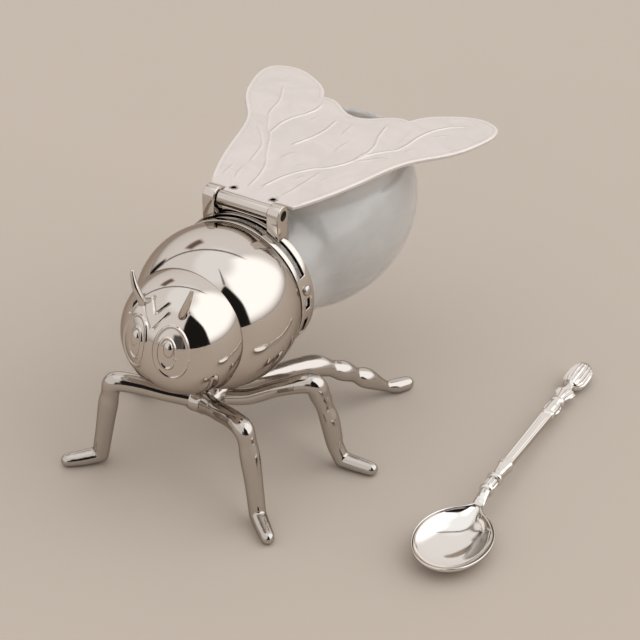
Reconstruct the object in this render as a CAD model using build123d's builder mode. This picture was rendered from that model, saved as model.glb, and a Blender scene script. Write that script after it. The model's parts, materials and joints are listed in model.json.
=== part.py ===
"""Bee honey pot with its spoon.

A polished metal bee stands on six legs. Its glass abdomen is the honey jar and its two wings,
one plate, are the lid, hinged on a bracket above the collar that holds the jar's neck.

Millimetres. +Z is up, the bee faces -Y and +X is its left side. The origin lies on the table
straight below the middle of the thorax.
"""

import os
from math import cos, radians, sin, sqrt

from build123d import *

# Thorax and head, two pressed shells that meet in a crease
THORAX_RADIUS = 29.0
THORAX_HEIGHT = 61.9
HEAD_RADIUS = 22.0
HEAD_FORWARD = 20.3
HEAD_RAISE = 2.0
SHELL_WALL = 1.0

# Eyes, pressed in relief: an oval ring and, nearer the face's middle, a smaller ring round a
# domed pupil
EYE_TURN = 20.4
EYE_LIFT = 12.0
EYE_HALF_WIDTH = 6.3
EYE_HALF_HEIGHT = 9.6
EYE_LINE = 0.9
EYE_RELIEF = 0.5
IRIS_HALF_WIDTH = 3.3
IRIS_HALF_HEIGHT = 5.9
IRIS_SHIFT = 1.2
PUPIL_HALF_WIDTH = 1.7
PUPIL_HALF_HEIGHT = 2.9
PUPIL_RELIEF = 0.9
PUPIL_SHIFT = 0.7
PUPIL_RISE = 1.6

# Antennae, small horns on the forehead
ANTENNA_ROOT_RADIUS = 1.4
ANTENNA_TIP_RADIUS = 0.7
# Points of the left one from the middle of the head
ANTENNA_ROOT = (7.0, -12.4, 13.8)
ANTENNA_BEND = (10.0, -13.2, 20.8)
ANTENNA_TIP = (11.9, -12.3, 27.0)
ANTENNA_STATIONS = (0, 0.35, 0.7, 1)

# Collar, a pierced ring behind the thorax
COLLAR_FRONT = 12.0
COLLAR_WIDTH = 7.9
COLLAR_RADIUS = 26.8
COLLAR_WALL = 1.4
SLOT_WIDTH = 2.9
SLOT_INSET = 2.2
TOP_SLOT_HALF_ANGLE = 66.0
CHEEK_SLOTS = ((84.0, 9.0), (102.0, 16.0))

# Screws that grip the jar's neck behind its lip
JAR_SCREW_ANGLES = (77.0, 180.0, 283.0)
JAR_SCREW_RADIUS = 1.2
JAR_SCREW_HEAD_RADIUS = 2.0
JAR_SCREW_HEAD_HEIGHT = 1.3
JAR_SCREW_HEAD_TAPER = 25.0
JAR_SCREW_GAP = 0.05

# Glass jar: an egg lying along Y with a closed neck in front and a wide lipped mouth on top
JAR_MIDDLE = 67.0
JAR_RAISE = 3.4
JAR_HALF_LENGTH = 46.3
JAR_RADIUS = 33.6
JAR_WALL = 2.0
NECK_CLEARANCE = 1.5
NECK_FRONT_GAP = 0.8
NECK_LENGTH = 10.0
NECK_LIP_HEIGHT = 1.4
NECK_LIP_WIDTH = 1.4
FLARE_LENGTH = 22.0
FLARE_HEIGHT = 2.5
MOUTH_SIDE_INSET = 1.5
MOUTH_END_INSET = 2.1
MOUTH_LIP_WALL = 2.2
MOUTH_LIP_HEIGHT = 8.0

# Hinge
HINGE_BEHIND = 18.4
HINGE_RISE = 4.3
POST_OUTSIDE = 15.4
POST_WIDTH = 4.8
POST_DEPTH = 7.2
POST_LAP_DEPTH = 2.0
POST_FOOT_ANGLE = 44.0
WEB_FRONT_SETBACK = 3.0
WEB_REAR_SETBACK = 1.2
PIN_RADIUS = 1.2
PIN_HEAD_RADIUS = 1.8
PIN_HEAD_THICKNESS = 0.8
PIN_RECESS_DEPTH = 1.0
PIN_SLOT_WIDTH = 0.5
PIN_SLOT_TURN = 35.0
PIN_CLEARANCE = 0.05
BARREL_RADIUS = 2.5
BARREL_CLEARANCE = 0.35
WEB_CLEARANCE = 0.5

# Wing lid: one plate that falls a little towards the tail. Outline points are the half width and
# the distance behind the hinge axis
LID_FALL = 3.4
LID_TOP_RISE = 2.1
LID_THICKNESS = 1.2
LID_JAR_GAP = 0.3
LID_POST_GAP = 0.4
SHOULDER_HALF_WIDTH = 16.6
WING_EDGE = (
    (21.0, 13.6),
    (28.3, 37.6),
    (34.3, 55.6),
    (42.4, 67.1),
    (49.3, 85.1),
    (48.6, 96.4),
    (40.5, 100.2),
    (29.5, 96.4),
    (22.4, 91.0),
    (18.2, 84.2),
)
TAIL_EDGE = ((15.2, 84.5), (12.4, 83.6), (8.3, 80.6), (4.4, 77.6), (0.0, 76.2))
LEAF_THICKNESS = 1.0
LEAF_LENGTH = 9.0
LEAF_HALF_WIDTH = 9.9
RIVET_HALF_SPACING = 8.0
RIVET_BEHIND = 5.2
RIVET_RADIUS = 0.9
RIVET_HEAD_RADIUS = 1.5
RIVET_HEAD_DEPTH = 0.7

# Hub under the thorax that the legs are brazed to: a spindle with a bar across its front
HUB_MIDDLE = -3.0
HUB_DROP = 5.9
HUB_HALF_LENGTH = 10.5
HUB_RADIUS = 5.5
HUB_END_RADIUS = 3.4
HUB_BAR_RISE = 2.0
HUB_BAR_HALF_LENGTH = 2.8
HUB_BAR_RADIUS = 3.8
BOSS_RADIUS = 3.4
BOSS_SPACING = 11.0
HUB_SCREW_RADIUS = 1.2
HUB_SCREW_HEAD_RADIUS = 2.3
HUB_SCREW_HEAD_HEIGHT = 1.5
HUB_SCREW_HEAD_CLEARANCE = 0.5
HUB_SCREW_RECESS = 2.2
NUT_ACROSS_CORNERS = 5.0
NUT_HEIGHT = 1.8
NUT_SEAT_RISE = 1.25
SCREW_TAIL = 0.8

# Legs of the left side, as strokes from the hub over the knee to the toe. A stroke is a run of
# sections, each the place of its centre and its radius, and starts where the one before it ends.
# The thighs' heights are above the hub's axis and the others above the table
FRONT_THIGH = (
    (3.0, -13.0, 2.2, 3.2),
    (11.0, -18.6, 5.5, 3.2),
    (19.3, -23.0, 8.3, 3.3),
    (26.4, -26.9, 9.3, 3.5),
)
FRONT_SHIN = ((29.2, -27.4, 27.5, 3.3), (31.1, -28.1, 15.5, 3.1), (33.0, -29.1, 3.4, 2.9))
FRONT_FOOT = ((37.6, -33.2, 2.6, 2.75), (41.8, -36.9, 2.3, 2.4))
MIDDLE_THIGH = (
    (3.0, -3.6, -0.6, 3.0),
    (12.0, -0.2, 0.6, 2.9),
    (22.0, 3.8, 5.4, 2.9),
    (32.0, 8.8, 7.9, 3.7),
)
MIDDLE_SHIN = (
    (34.6, 10.6, 29.3, 3.5),
    (37.7, 11.6, 19.8, 3.2),
    (39.8, 12.2, 8.7, 2.9),
    (42.3, 12.6, 3.0, 2.8),
)
MIDDLE_FOOT = ((48.4, 13.2, 2.55, 2.7), (53.6, 13.7, 2.3, 2.4))
REAR_THIGH = (
    (3.2, 7.0, -1.0, 3.0),
    (9.0, 16.4, -2.0, 3.1),
    (15.2, 26.2, -2.6, 3.5),
    (19.6, 33.2, -4.1, 3.8),
    (22.8, 38.4, -7.4, 3.0),
)
REAR_SHIN = ((25.6, 42.8, 16.8, 3.4), (28.0, 46.6, 13.5, 2.6))
REAR_ANKLE = ((30.6, 50.6, 10.5, 3.4), (33.4, 55.0, 6.3, 2.4), (35.0, 57.8, 3.8, 1.8))
REAR_FOOT = ((37.6, 61.8, 2.6, 2.7), (39.8, 65.4, 2.3, 2.5))
KNUCKLE_SWELL = 0.15
LEGS = {
    "front": (FRONT_THIGH, FRONT_SHIN, FRONT_FOOT),
    "middle": (MIDDLE_THIGH, MIDDLE_SHIN, MIDDLE_FOOT),
    "rear": (REAR_THIGH, REAR_SHIN, REAR_ANKLE, REAR_FOOT),
}

# Spoon, lying beside the pot with its bowl towards the bee's head
SPOON_ASIDE = 98.4
SPOON_BOWL_MIDDLE = -9.3
SPOON_TURN = 2.4
SPOON_BOWL_HALF_WIDTH = 13.6
SPOON_BOWL_HALF_LENGTH = 17.1
SPOON_BOWL_DEPTH = 6.6
SPOON_WALL = 0.9
# Distances along the handle are behind the middle of the bowl
HANDLE_START = 28.0
HANDLE_HEIGHT = 8.2
FINIAL_MIDDLE = 109.4
FINIAL_HALF_WIDTH = 4.5
FINIAL_HALF_LENGTH = 8.2
FINIAL_HALF_HEIGHT = 3.4
# Neck sections: distance, height, half width and half thickness
SPOON_NECK = ((16.6, 6.0, 3.4, 0.55), (21.0, 7.0, 2.1, 1.5), (28.5, 8.2, 1.8, 1.7))
# Shaft sections: distance, half width and half thickness
SPOON_SHAFT = ((28.0, 1.8, 1.6), (43.0, 1.8, 1.4), (62.0, 1.9, 1.3), (81.0, 2.1, 1.4))
SHAFT_EDGE_RADIUS = 0.6
# Mouldings on the handle: distance, length, half width at either end and half thickness
MOULDINGS = (
    (26.2, 1.3, 2.6, 2.6, 2.6),
    (27.4, 5.9, 2.1, 2.1, 2.2),
    (33.2, 1.3, 2.8, 2.8, 2.7),
    (34.4, 8.4, 2.0, 2.5, 2.1),
    (42.7, 0.8, 2.7, 2.7, 2.3),
    (79.8, 1.4, 2.4, 2.8, 1.9),
    (81.1, 3.2, 2.6, 3.1, 2.4),
    (84.2, 5.2, 3.1, 2.3, 2.3),
    (89.3, 1.2, 2.6, 2.6, 2.2),
    (90.4, 7.4, 1.9, 4.0, 2.0),
    (97.7, 4.6, 2.6, 1.6, 1.7),
)


def facing_front(behind):
    """Plane across the bee, a distance behind the middle of the thorax, seen from the front."""
    return Plane((0, behind, THORAX_HEIGHT), x_dir=(1, 0, 0), z_dir=(0, -1, 0))


def round_collar(angle, behind, radius=0.0):
    """Plane that looks out of the collar, at an angle from its top towards the bee's left."""
    outwards = Vector(sin(radians(angle)), 0, cos(radians(angle)))
    middle = Vector(0, behind, THORAX_HEIGHT)
    return Plane(middle + outwards * radius, x_dir=(0, 1, 0), z_dir=outwards)


def lid_plane(drop):
    """Plane parallel to the lid, a distance below its top; local Y runs to the tail."""
    normal = Vector(0, sin(radians(LID_FALL)), cos(radians(LID_FALL)))
    hinge = Vector(0, HINGE_BEHIND, hinge_height)
    return Plane(hinge + normal * (LID_TOP_RISE - drop), x_dir=(1, 0, 0), z_dir=normal)


def egg(half_width, half_length, half_height, place):
    """A ball with its own half size along each axis."""
    with BuildPart(mode=Mode.PRIVATE) as ball:
        Sphere(half_height)
        scale(by=(half_width / half_height, half_length / half_height, 1))
    return ball.part.moved(Location(place))


def save(part, name):
    part.label = name
    export_step(part, f"parts/{name}.step")


thorax_middle = Vector(0, 0, THORAX_HEIGHT)
head_middle = Vector(0, -HEAD_FORWARD, THORAX_HEIGHT + HEAD_RAISE)
towards_head = (head_middle - thorax_middle).normalized()
head_distance = (head_middle - thorax_middle).length
crease_distance = (head_distance**2 + THORAX_RADIUS**2 - HEAD_RADIUS**2) / (2 * head_distance)
crease = Plane(thorax_middle + towards_head * crease_distance, z_dir=towards_head)
collar_rear = COLLAR_FRONT + COLLAR_WIDTH
slot_front = COLLAR_FRONT + SLOT_INSET
slot_middle = slot_front + SLOT_WIDTH / 2
neck_lip_radius = COLLAR_RADIUS - COLLAR_WALL - NECK_CLEARANCE
neck_radius = neck_lip_radius - NECK_LIP_HEIGHT
flare_radius = neck_radius + FLARE_HEIGHT
hinge_height = THORAX_HEIGHT + COLLAR_RADIUS + HINGE_RISE
jar_height = THORAX_HEIGHT + JAR_RAISE
hub_height = THORAX_HEIGHT - THORAX_RADIUS - HUB_DROP
hub_front, hub_rear = HUB_MIDDLE - HUB_HALF_LENGTH, HUB_MIDDLE + HUB_HALF_LENGTH
boss_places = (HUB_MIDDLE - BOSS_SPACING / 2, HUB_MIDDLE + BOSS_SPACING / 2)

os.makedirs("parts", exist_ok=True)

# Hub form: a spindle along Y, the bar across it and two bosses that reach up to the thorax
with BuildPart() as hub_form:
    with BuildSketch(Plane.YZ):
        with BuildLine():
            Line((hub_front, hub_height), (hub_front, hub_height + HUB_END_RADIUS))
            ThreePointArc(
                (hub_front, hub_height + HUB_END_RADIUS),
                (HUB_MIDDLE, hub_height + HUB_RADIUS),
                (hub_rear, hub_height + HUB_END_RADIUS),
            )
            Line((hub_rear, hub_height + HUB_END_RADIUS), (hub_rear, hub_height))
            Line((hub_rear, hub_height), (hub_front, hub_height))
        make_face()
    revolve(axis=Axis((0, 0, hub_height), (0, 1, 0)))
    with Locations((0, hub_front, hub_height + HUB_BAR_RISE)):
        Cylinder(HUB_BAR_RADIUS, 2 * HUB_BAR_HALF_LENGTH, rotation=(0, 90, 0))
    with Locations(*[(0, place, hub_height) for place in boss_places]):
        Cylinder(
            BOSS_RADIUS,
            THORAX_HEIGHT - THORAX_RADIUS / 2 - hub_height,
            align=(Align.CENTER, Align.CENTER, Align.MIN),
        )
    with Locations(thorax_middle):
        Sphere(THORAX_RADIUS, mode=Mode.SUBTRACT)

# Hub screws come up through the bosses into nuts inside the thorax
screw_seat = hub_height - HUB_RADIUS + HUB_SCREW_RECESS
nut_seat = THORAX_HEIGHT - sqrt((THORAX_RADIUS - SHELL_WALL) ** 2 - max(map(abs, boss_places)) ** 2)
nut_seat += NUT_SEAT_RISE
with BuildPart() as hub_screws:
    with Locations(*[(0, place, screw_seat) for place in boss_places]):
        Cylinder(
            HUB_SCREW_HEAD_RADIUS,
            HUB_SCREW_HEAD_HEIGHT,
            align=(Align.CENTER, Align.CENTER, Align.MAX),
        )
        Cylinder(
            HUB_SCREW_RADIUS,
            nut_seat + NUT_HEIGHT + SCREW_TAIL - screw_seat,
            align=(Align.CENTER, Align.CENTER, Align.MIN),
        )

with BuildPart() as hub:
    add(hub_form.part)
    with Locations(*[(0, place, screw_seat) for place in boss_places]):
        Cylinder(
            HUB_SCREW_HEAD_RADIUS + HUB_SCREW_HEAD_CLEARANCE,
            HUB_RADIUS,
            align=(Align.CENTER, Align.CENTER, Align.MAX),
            mode=Mode.SUBTRACT,
        )
    add(hub_screws.part, mode=Mode.SUBTRACT)
save(hub.part, "leg_hub")

# Thorax: a hollow ball, open where it meets the head and the collar
with BuildPart() as thorax:
    with Locations(thorax_middle):
        Sphere(THORAX_RADIUS)
        Sphere(THORAX_RADIUS - SHELL_WALL, mode=Mode.SUBTRACT)
    split(bisect_by=crease, keep=Keep.BOTTOM)
    split(bisect_by=facing_front(COLLAR_FRONT), keep=Keep.TOP)
    add(hub_screws.part, mode=Mode.SUBTRACT)
save(thorax.part, "thorax_shell")

with BuildPart() as hub_nuts:
    for place in boss_places:
        with BuildSketch(Plane.XY.offset(nut_seat)):
            with Locations((0, place)):
                RegularPolygon(NUT_ACROSS_CORNERS / 2, 6)
        extrude(amount=NUT_HEIGHT)
        with BuildSketch(Plane.XY.offset(nut_seat)):
            with Locations((0, place)):
                Circle(NUT_ACROSS_CORNERS / 2)
        extrude(amount=-NUT_HEIGHT)
    with Locations(thorax_middle):
        Sphere(THORAX_RADIUS - SHELL_WALL, mode=Mode.INTERSECT)
    add(hub_screws.part, mode=Mode.SUBTRACT)
save(hub_nuts.part, "hub_nuts")
save(hub_screws.part, "hub_screws")


def eye_plane(side):
    """Plane tangent to the head at an eye, with local Y up the face."""
    turn, lift = radians(EYE_TURN), radians(EYE_LIFT)
    outwards = Vector(side * sin(turn) * cos(lift), -cos(turn) * cos(lift), sin(lift))
    across = Vector(-outwards.Y, outwards.X, 0)
    return Plane(head_middle, x_dir=across, z_dir=outwards)


def eye_relief(side, outer, inner, relief, place=(0, 0)):
    """Solid between the head and a ball larger by the relief, between two ovals of an eye.

    The place of their centre is towards the face's middle and up the face."""
    shift, rise = place
    with BuildPart(mode=Mode.PRIVATE) as relief_part:
        with BuildSketch(eye_plane(side)):
            with Locations((-side * shift, rise)):
                Ellipse(*outer)
                if inner:
                    Ellipse(*inner, mode=Mode.SUBTRACT)
        extrude(amount=2 * HEAD_RADIUS)
        with Locations(head_middle):
            Sphere(HEAD_RADIUS + relief, mode=Mode.INTERSECT)
            Sphere(HEAD_RADIUS - SHELL_WALL / 2, mode=Mode.SUBTRACT)
    return relief_part.part


# Head: a hollow ball in front of the crease, with the eyes in relief
with BuildPart() as head:
    with Locations(head_middle):
        Sphere(HEAD_RADIUS)
        Sphere(HEAD_RADIUS - SHELL_WALL, mode=Mode.SUBTRACT)
    split(bisect_by=crease, keep=Keep.TOP)
    eye = (EYE_HALF_WIDTH, EYE_HALF_HEIGHT)
    eye_inside = (EYE_HALF_WIDTH - EYE_LINE, EYE_HALF_HEIGHT - EYE_LINE)
    iris = (IRIS_HALF_WIDTH, IRIS_HALF_HEIGHT)
    iris_inside = (IRIS_HALF_WIDTH - EYE_LINE, IRIS_HALF_HEIGHT - EYE_LINE)
    pupil = (PUPIL_HALF_WIDTH, PUPIL_HALF_HEIGHT)
    for side in (-1, 1):
        add(eye_relief(side, eye, eye_inside, EYE_RELIEF))
        add(eye_relief(side, iris, iris_inside, EYE_RELIEF, (IRIS_SHIFT, 0)))
        add(eye_relief(side, pupil, None, PUPIL_RELIEF, (PUPIL_SHIFT, PUPIL_RISE)))
save(head.part, "head_shell")

# Antennae: curved horns whose roots follow the head
for side, name in ((1, "left"), (-1, "right")):
    places = [
        head_middle + Vector(side * x, y, z)
        for x, y, z in (ANTENNA_ROOT, ANTENNA_BEND, ANTENNA_TIP)
    ]
    with BuildPart() as antenna:
        with BuildLine():
            horn_line = Spline(*places)
        for along in ANTENNA_STATIONS:
            radius = ANTENNA_ROOT_RADIUS + along * (ANTENNA_TIP_RADIUS - ANTENNA_ROOT_RADIUS)
            section = Plane(horn_line @ along, x_dir=(0, 1, 0), z_dir=horn_line % along)
            with BuildSketch(section):
                Circle(radius)
        loft()
        with Locations(head_middle):
            Sphere(HEAD_RADIUS, mode=Mode.SUBTRACT)
    save(antenna.part, f"antenna_{name}")

# Jar screws: domed heads outside the collar, shanks that reach the neck behind its lip
with BuildPart() as jar_screws:
    for angle in JAR_SCREW_ANGLES:
        with Locations(round_collar(angle, slot_middle, neck_radius + JAR_SCREW_GAP)):
            Cylinder(
                JAR_SCREW_RADIUS,
                COLLAR_RADIUS - neck_radius,
                align=(Align.CENTER, Align.CENTER, Align.MIN),
            )
        with BuildSketch(round_collar(angle, slot_middle, COLLAR_RADIUS)):
            Circle(JAR_SCREW_HEAD_RADIUS)
        extrude(amount=JAR_SCREW_HEAD_HEIGHT, taper=JAR_SCREW_HEAD_TAPER)
save(jar_screws.part, "jar_screws")

# Collar
with BuildPart() as collar:
    with BuildSketch(facing_front(collar_rear)):
        Circle(COLLAR_RADIUS)
        Circle(COLLAR_RADIUS - COLLAR_WALL, mode=Mode.SUBTRACT)
    extrude(amount=COLLAR_WIDTH)
    slots = [(-TOP_SLOT_HALF_ANGLE, 2 * TOP_SLOT_HALF_ANGLE)]
    slots += CHEEK_SLOTS
    slots += [(-start - sweep, sweep) for start, sweep in CHEEK_SLOTS]
    for start, sweep in slots:
        with Locations(facing_front(slot_front + SLOT_WIDTH)):
            Cylinder(
                COLLAR_RADIUS + COLLAR_WALL,
                SLOT_WIDTH,
                arc_size=sweep,
                rotation=(0, 0, 90 - start - sweep),
                align=(Align.CENTER, Align.CENTER, Align.MIN),
                mode=Mode.SUBTRACT,
            )
    add(jar_screws.part, mode=Mode.SUBTRACT)
save(collar.part, "collar_ring")


def jar_form(inset):
    """The jar's closed outside, or with an inset its inside: an egg and its flared neck."""
    neck_front = COLLAR_FRONT + NECK_FRONT_GAP + inset
    with BuildPart(mode=Mode.PRIVATE) as form:
        radius, half_length = JAR_RADIUS - inset, JAR_HALF_LENGTH - inset
        add(egg(radius, half_length, radius, (0, JAR_MIDDLE, jar_height)))
        flare_front = COLLAR_FRONT + NECK_FRONT_GAP + NECK_LENGTH
        with Locations(facing_front(flare_front)):
            Cylinder(
                neck_radius - inset,
                flare_front - neck_front,
                align=(Align.CENTER, Align.CENTER, Align.MIN),
            )
        with Locations(facing_front(flare_front + FLARE_LENGTH)):
            Cone(
                flare_radius - inset,
                neck_radius - inset,
                FLARE_LENGTH,
                align=(Align.CENTER, Align.CENTER, Align.MIN),
            )
    return form.part


# Glass jar
mouth_plane = lid_plane(LID_THICKNESS + LID_JAR_GAP)
mouth_behind = JAR_MIDDLE - HINGE_BEHIND
shoulder_rise = mouth_plane.offset(-MOUTH_LIP_HEIGHT).from_local_coords((0, mouth_behind)).Z - jar_height
shoulder_share = sqrt(1 - (shoulder_rise / JAR_RADIUS) ** 2)
mouth_half_width = JAR_RADIUS * shoulder_share - MOUTH_SIDE_INSET
mouth_half_length = JAR_HALF_LENGTH * shoulder_share - MOUTH_END_INSET
with BuildPart() as jar:
    add(jar_form(0))
    with BuildSketch(facing_front(COLLAR_FRONT + NECK_FRONT_GAP + NECK_LIP_WIDTH)):
        Circle(neck_lip_radius)
    extrude(amount=NECK_LIP_WIDTH)
    split(bisect_by=mouth_plane.offset(-MOUTH_LIP_HEIGHT), keep=Keep.BOTTOM)
    with BuildSketch(mouth_plane):
        with Locations((0, mouth_behind)):
            Ellipse(mouth_half_width, mouth_half_length)
    extrude(amount=-MOUTH_LIP_HEIGHT - JAR_WALL)
    add(jar_form(JAR_WALL), mode=Mode.SUBTRACT)
    with BuildSketch(mouth_plane):
        with Locations((0, mouth_behind)):
            Ellipse(mouth_half_width - MOUTH_LIP_WALL, mouth_half_length - MOUTH_LIP_WALL)
    extrude(amount=-JAR_RADIUS / 2, mode=Mode.SUBTRACT)
save(jar.part, "glass_jar")

# Hinge pin: a slotted screw sunk in the left post
with BuildPart() as pin:
    with BuildSketch(Plane.YZ.offset(-POST_OUTSIDE)):
        with Locations((HINGE_BEHIND, hinge_height)):
            Circle(PIN_RADIUS)
    extrude(amount=2 * POST_OUTSIDE - PIN_RECESS_DEPTH)
    with BuildSketch(Plane.YZ.offset(POST_OUTSIDE - PIN_RECESS_DEPTH)):
        with Locations((HINGE_BEHIND, hinge_height)):
            Circle(PIN_HEAD_RADIUS)
    extrude(amount=PIN_HEAD_THICKNESS)
    with Locations((POST_OUTSIDE - PIN_RECESS_DEPTH + PIN_HEAD_THICKNESS, HINGE_BEHIND, hinge_height)):
        Box(
            PIN_HEAD_THICKNESS,
            2 * PIN_HEAD_RADIUS,
            PIN_SLOT_WIDTH,
            rotation=(PIN_SLOT_TURN, 0, 0),
            mode=Mode.SUBTRACT,
        )
save(pin.part, "hinge_pin")

# Hinge bracket: two round-topped posts and the web between them, on the collar's rear band
post_inside = POST_OUTSIDE - POST_WIDTH
with BuildPart() as bracket:
    for side in (-1, 1):
        with BuildSketch(Plane.YZ.offset(side * POST_OUTSIDE)):
            with Locations((HINGE_BEHIND, hinge_height)):
                Circle(POST_DEPTH / 2)
                Rectangle(POST_DEPTH, COLLAR_RADIUS, align=(Align.CENTER, Align.MAX))
        extrude(amount=-side * POST_WIDTH)
    web_front = HINGE_BEHIND - POST_DEPTH / 2 + WEB_FRONT_SETBACK
    web_rear = HINGE_BEHIND + POST_DEPTH / 2 - WEB_REAR_SETBACK
    web_top = hinge_height - BARREL_RADIUS - WEB_CLEARANCE
    with Locations((0, web_front, web_top)):
        Box(
            2 * post_inside,
            web_rear - web_front,
            COLLAR_RADIUS / 2,
            align=(Align.CENTER, Align.MIN, Align.MAX),
        )
    with Locations(facing_front(collar_rear)):
        Cylinder(
            COLLAR_RADIUS,
            COLLAR_RADIUS,
            align=(Align.CENTER, Align.CENTER, Align.MIN),
            mode=Mode.SUBTRACT,
        )
    with Locations(facing_front(collar_rear + POST_DEPTH)):
        Cylinder(
            COLLAR_RADIUS - POST_LAP_DEPTH,
            POST_DEPTH,
            align=(Align.CENTER, Align.CENTER, Align.MIN),
            mode=Mode.SUBTRACT,
        )
    lap_floor = THORAX_HEIGHT + COLLAR_RADIUS * cos(radians(POST_FOOT_ANGLE))
    split(bisect_by=Plane.XY.offset(lap_floor), keep=Keep.TOP)
    with BuildSketch(Plane.YZ.offset(POST_OUTSIDE)):
        with Locations((HINGE_BEHIND, hinge_height)):
            Circle(PIN_HEAD_RADIUS + 2 * PIN_CLEARANCE)
    extrude(amount=-PIN_RECESS_DEPTH, mode=Mode.SUBTRACT)
    with BuildSketch(Plane.YZ.offset(-POST_OUTSIDE)):
        with Locations((HINGE_BEHIND, hinge_height)):
            Circle(PIN_RADIUS)
    extrude(amount=2 * POST_OUTSIDE, mode=Mode.SUBTRACT)
save(bracket.part, "hinge_bracket")

# Rivets that hold the wings to the hinge leaf, countersunk in the wings
with BuildPart() as rivets:
    for side in (-1, 1):
        with BuildSketch(lid_plane(LID_THICKNESS + LEAF_THICKNESS)):
            with Locations((side * RIVET_HALF_SPACING, RIVET_BEHIND)):
                Circle(RIVET_RADIUS)
        extrude(amount=LID_THICKNESS + LEAF_THICKNESS)
        for drop, radius in ((RIVET_HEAD_DEPTH, RIVET_RADIUS), (0, RIVET_HEAD_RADIUS)):
            with BuildSketch(lid_plane(drop)):
                with Locations((side * RIVET_HALF_SPACING, RIVET_BEHIND)):
                    Circle(radius)
        loft()
save(rivets.part, "lid_rivets")

# Hinge leaf: the barrel round the pin and the flange under the wings
barrel_half_length = post_inside - BARREL_CLEARANCE
with BuildPart() as leaf:
    with BuildSketch(lid_plane(LID_THICKNESS)):
        Rectangle(2 * LEAF_HALF_WIDTH, LEAF_LENGTH, align=(Align.CENTER, Align.MIN))
    extrude(amount=-LEAF_THICKNESS)
    with BuildSketch(Plane.YZ.offset(-barrel_half_length)):
        with Locations((HINGE_BEHIND, hinge_height)):
            Circle(BARREL_RADIUS)
    extrude(amount=2 * barrel_half_length)
    with BuildSketch(Plane.YZ.offset(-POST_OUTSIDE)):
        with Locations((HINGE_BEHIND, hinge_height)):
            Circle(PIN_RADIUS + PIN_CLEARANCE)
    extrude(amount=2 * POST_OUTSIDE, mode=Mode.SUBTRACT)
    add(rivets.part, mode=Mode.SUBTRACT)
save(leaf.part, "hinge_leaf")

# Wing lid: a tongue between the posts, shoulders behind them and two wings
shoulder_behind = POST_DEPTH / 2 + LID_POST_GAP
with BuildPart() as wings:
    with BuildSketch(lid_plane(0)):
        with BuildLine():
            Line((0, 0), (barrel_half_length, 0))
            Line((barrel_half_length, 0), (barrel_half_length, shoulder_behind))
            Line((barrel_half_length, shoulder_behind), (SHOULDER_HALF_WIDTH, shoulder_behind))
            Spline((SHOULDER_HALF_WIDTH, shoulder_behind), *WING_EDGE)
            Spline(WING_EDGE[-1], *TAIL_EDGE)
            Line(TAIL_EDGE[-1], (0, 0))
        make_face()
        mirror(about=Plane.YZ)
    extrude(amount=-LID_THICKNESS)
    with BuildSketch(Plane.YZ.offset(-barrel_half_length)):
        with Locations((HINGE_BEHIND, hinge_height)):
            Circle(BARREL_RADIUS)
    extrude(amount=2 * barrel_half_length, mode=Mode.SUBTRACT)
    add(rivets.part, mode=Mode.SUBTRACT)
save(wings.part, "wing_lid")


def raised(thigh):
    """Sections of a thigh with their heights above the table."""
    return tuple((x, y, hub_height + rise, radius) for x, y, rise, radius in thigh)


def stroke_plane(stroke, index, side):
    """Plane across a leg's stroke at one of its sections, square to the run through it."""
    places = [Vector(x, y, z) for x, y, z, _ in stroke]
    along = (places[min(index + 1, len(stroke) - 1)] - places[max(index - 1, 0)]).normalized()
    run = places[-1] - places[0]
    level = Vector(run.Y, -run.X, 0)
    across = level - along * level.dot(along)
    place = places[index]
    return Plane(
        Vector(side * place.X, place.Y, place.Z),
        x_dir=(side * across.X, across.Y, across.Z),
        z_dir=(side * along.X, along.Y, along.Z),
    )


# Legs: smooth strokes joined by round knuckles, ending in a foot with a flat sole
for row, (thigh, *lower_strokes) in LEGS.items():
    for side, name in ((1, "left"), (-1, "right")):
        with BuildPart() as leg:
            knuckle = ()
            for new_sections in (raised(thigh), *lower_strokes):
                stroke = knuckle + new_sections
                for index, section in enumerate(stroke):
                    with BuildSketch(stroke_plane(stroke, index, side)):
                        Circle(section[-1])
                loft()
                knuckle = new_sections[-1:]
                x, y, z, radius = knuckle[0]
                with Locations((side * x, y, z)):
                    Sphere(radius + KNUCKLE_SWELL)
            split(bisect_by=Plane.XY, keep=Keep.TOP)
            add(hub_form.part, mode=Mode.SUBTRACT)
        save(leg.part, f"leg_{row}_{name}")

# Spoon
spoon_turn = radians(SPOON_TURN)
spoon_frame = Plane(
    (SPOON_ASIDE, SPOON_BOWL_MIDDLE, 0), x_dir=(cos(spoon_turn), sin(spoon_turn), 0), z_dir=(0, 0, 1)
)
handle_slope = (HANDLE_HEIGHT - FINIAL_HALF_HEIGHT) / (FINIAL_MIDDLE - HANDLE_START)


def handle_plane(behind):
    """Plane across the spoon's handle, a distance behind the middle of the bowl."""
    height = HANDLE_HEIGHT - handle_slope * (behind - HANDLE_START)
    place = spoon_frame.from_local_coords((0, behind, height))
    along = spoon_frame.y_dir - Vector(0, 0, handle_slope)
    return Plane(place, x_dir=spoon_frame.x_dir, z_dir=along)


def bowl_form(inset):
    """Half an egg below the spoon's rim, or with an inset the hollow in it."""
    with BuildPart(mode=Mode.PRIVATE) as form:
        Sphere(SPOON_BOWL_DEPTH - inset)
        scale(
            by=(
                (SPOON_BOWL_HALF_WIDTH - inset) / (SPOON_BOWL_DEPTH - inset),
                (SPOON_BOWL_HALF_LENGTH - inset) / (SPOON_BOWL_DEPTH - inset),
                1,
            )
        )
        split(bisect_by=Plane.XY, keep=Keep.BOTTOM)
    return form.part.moved(spoon_frame.offset(SPOON_BOWL_DEPTH).location)


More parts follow.
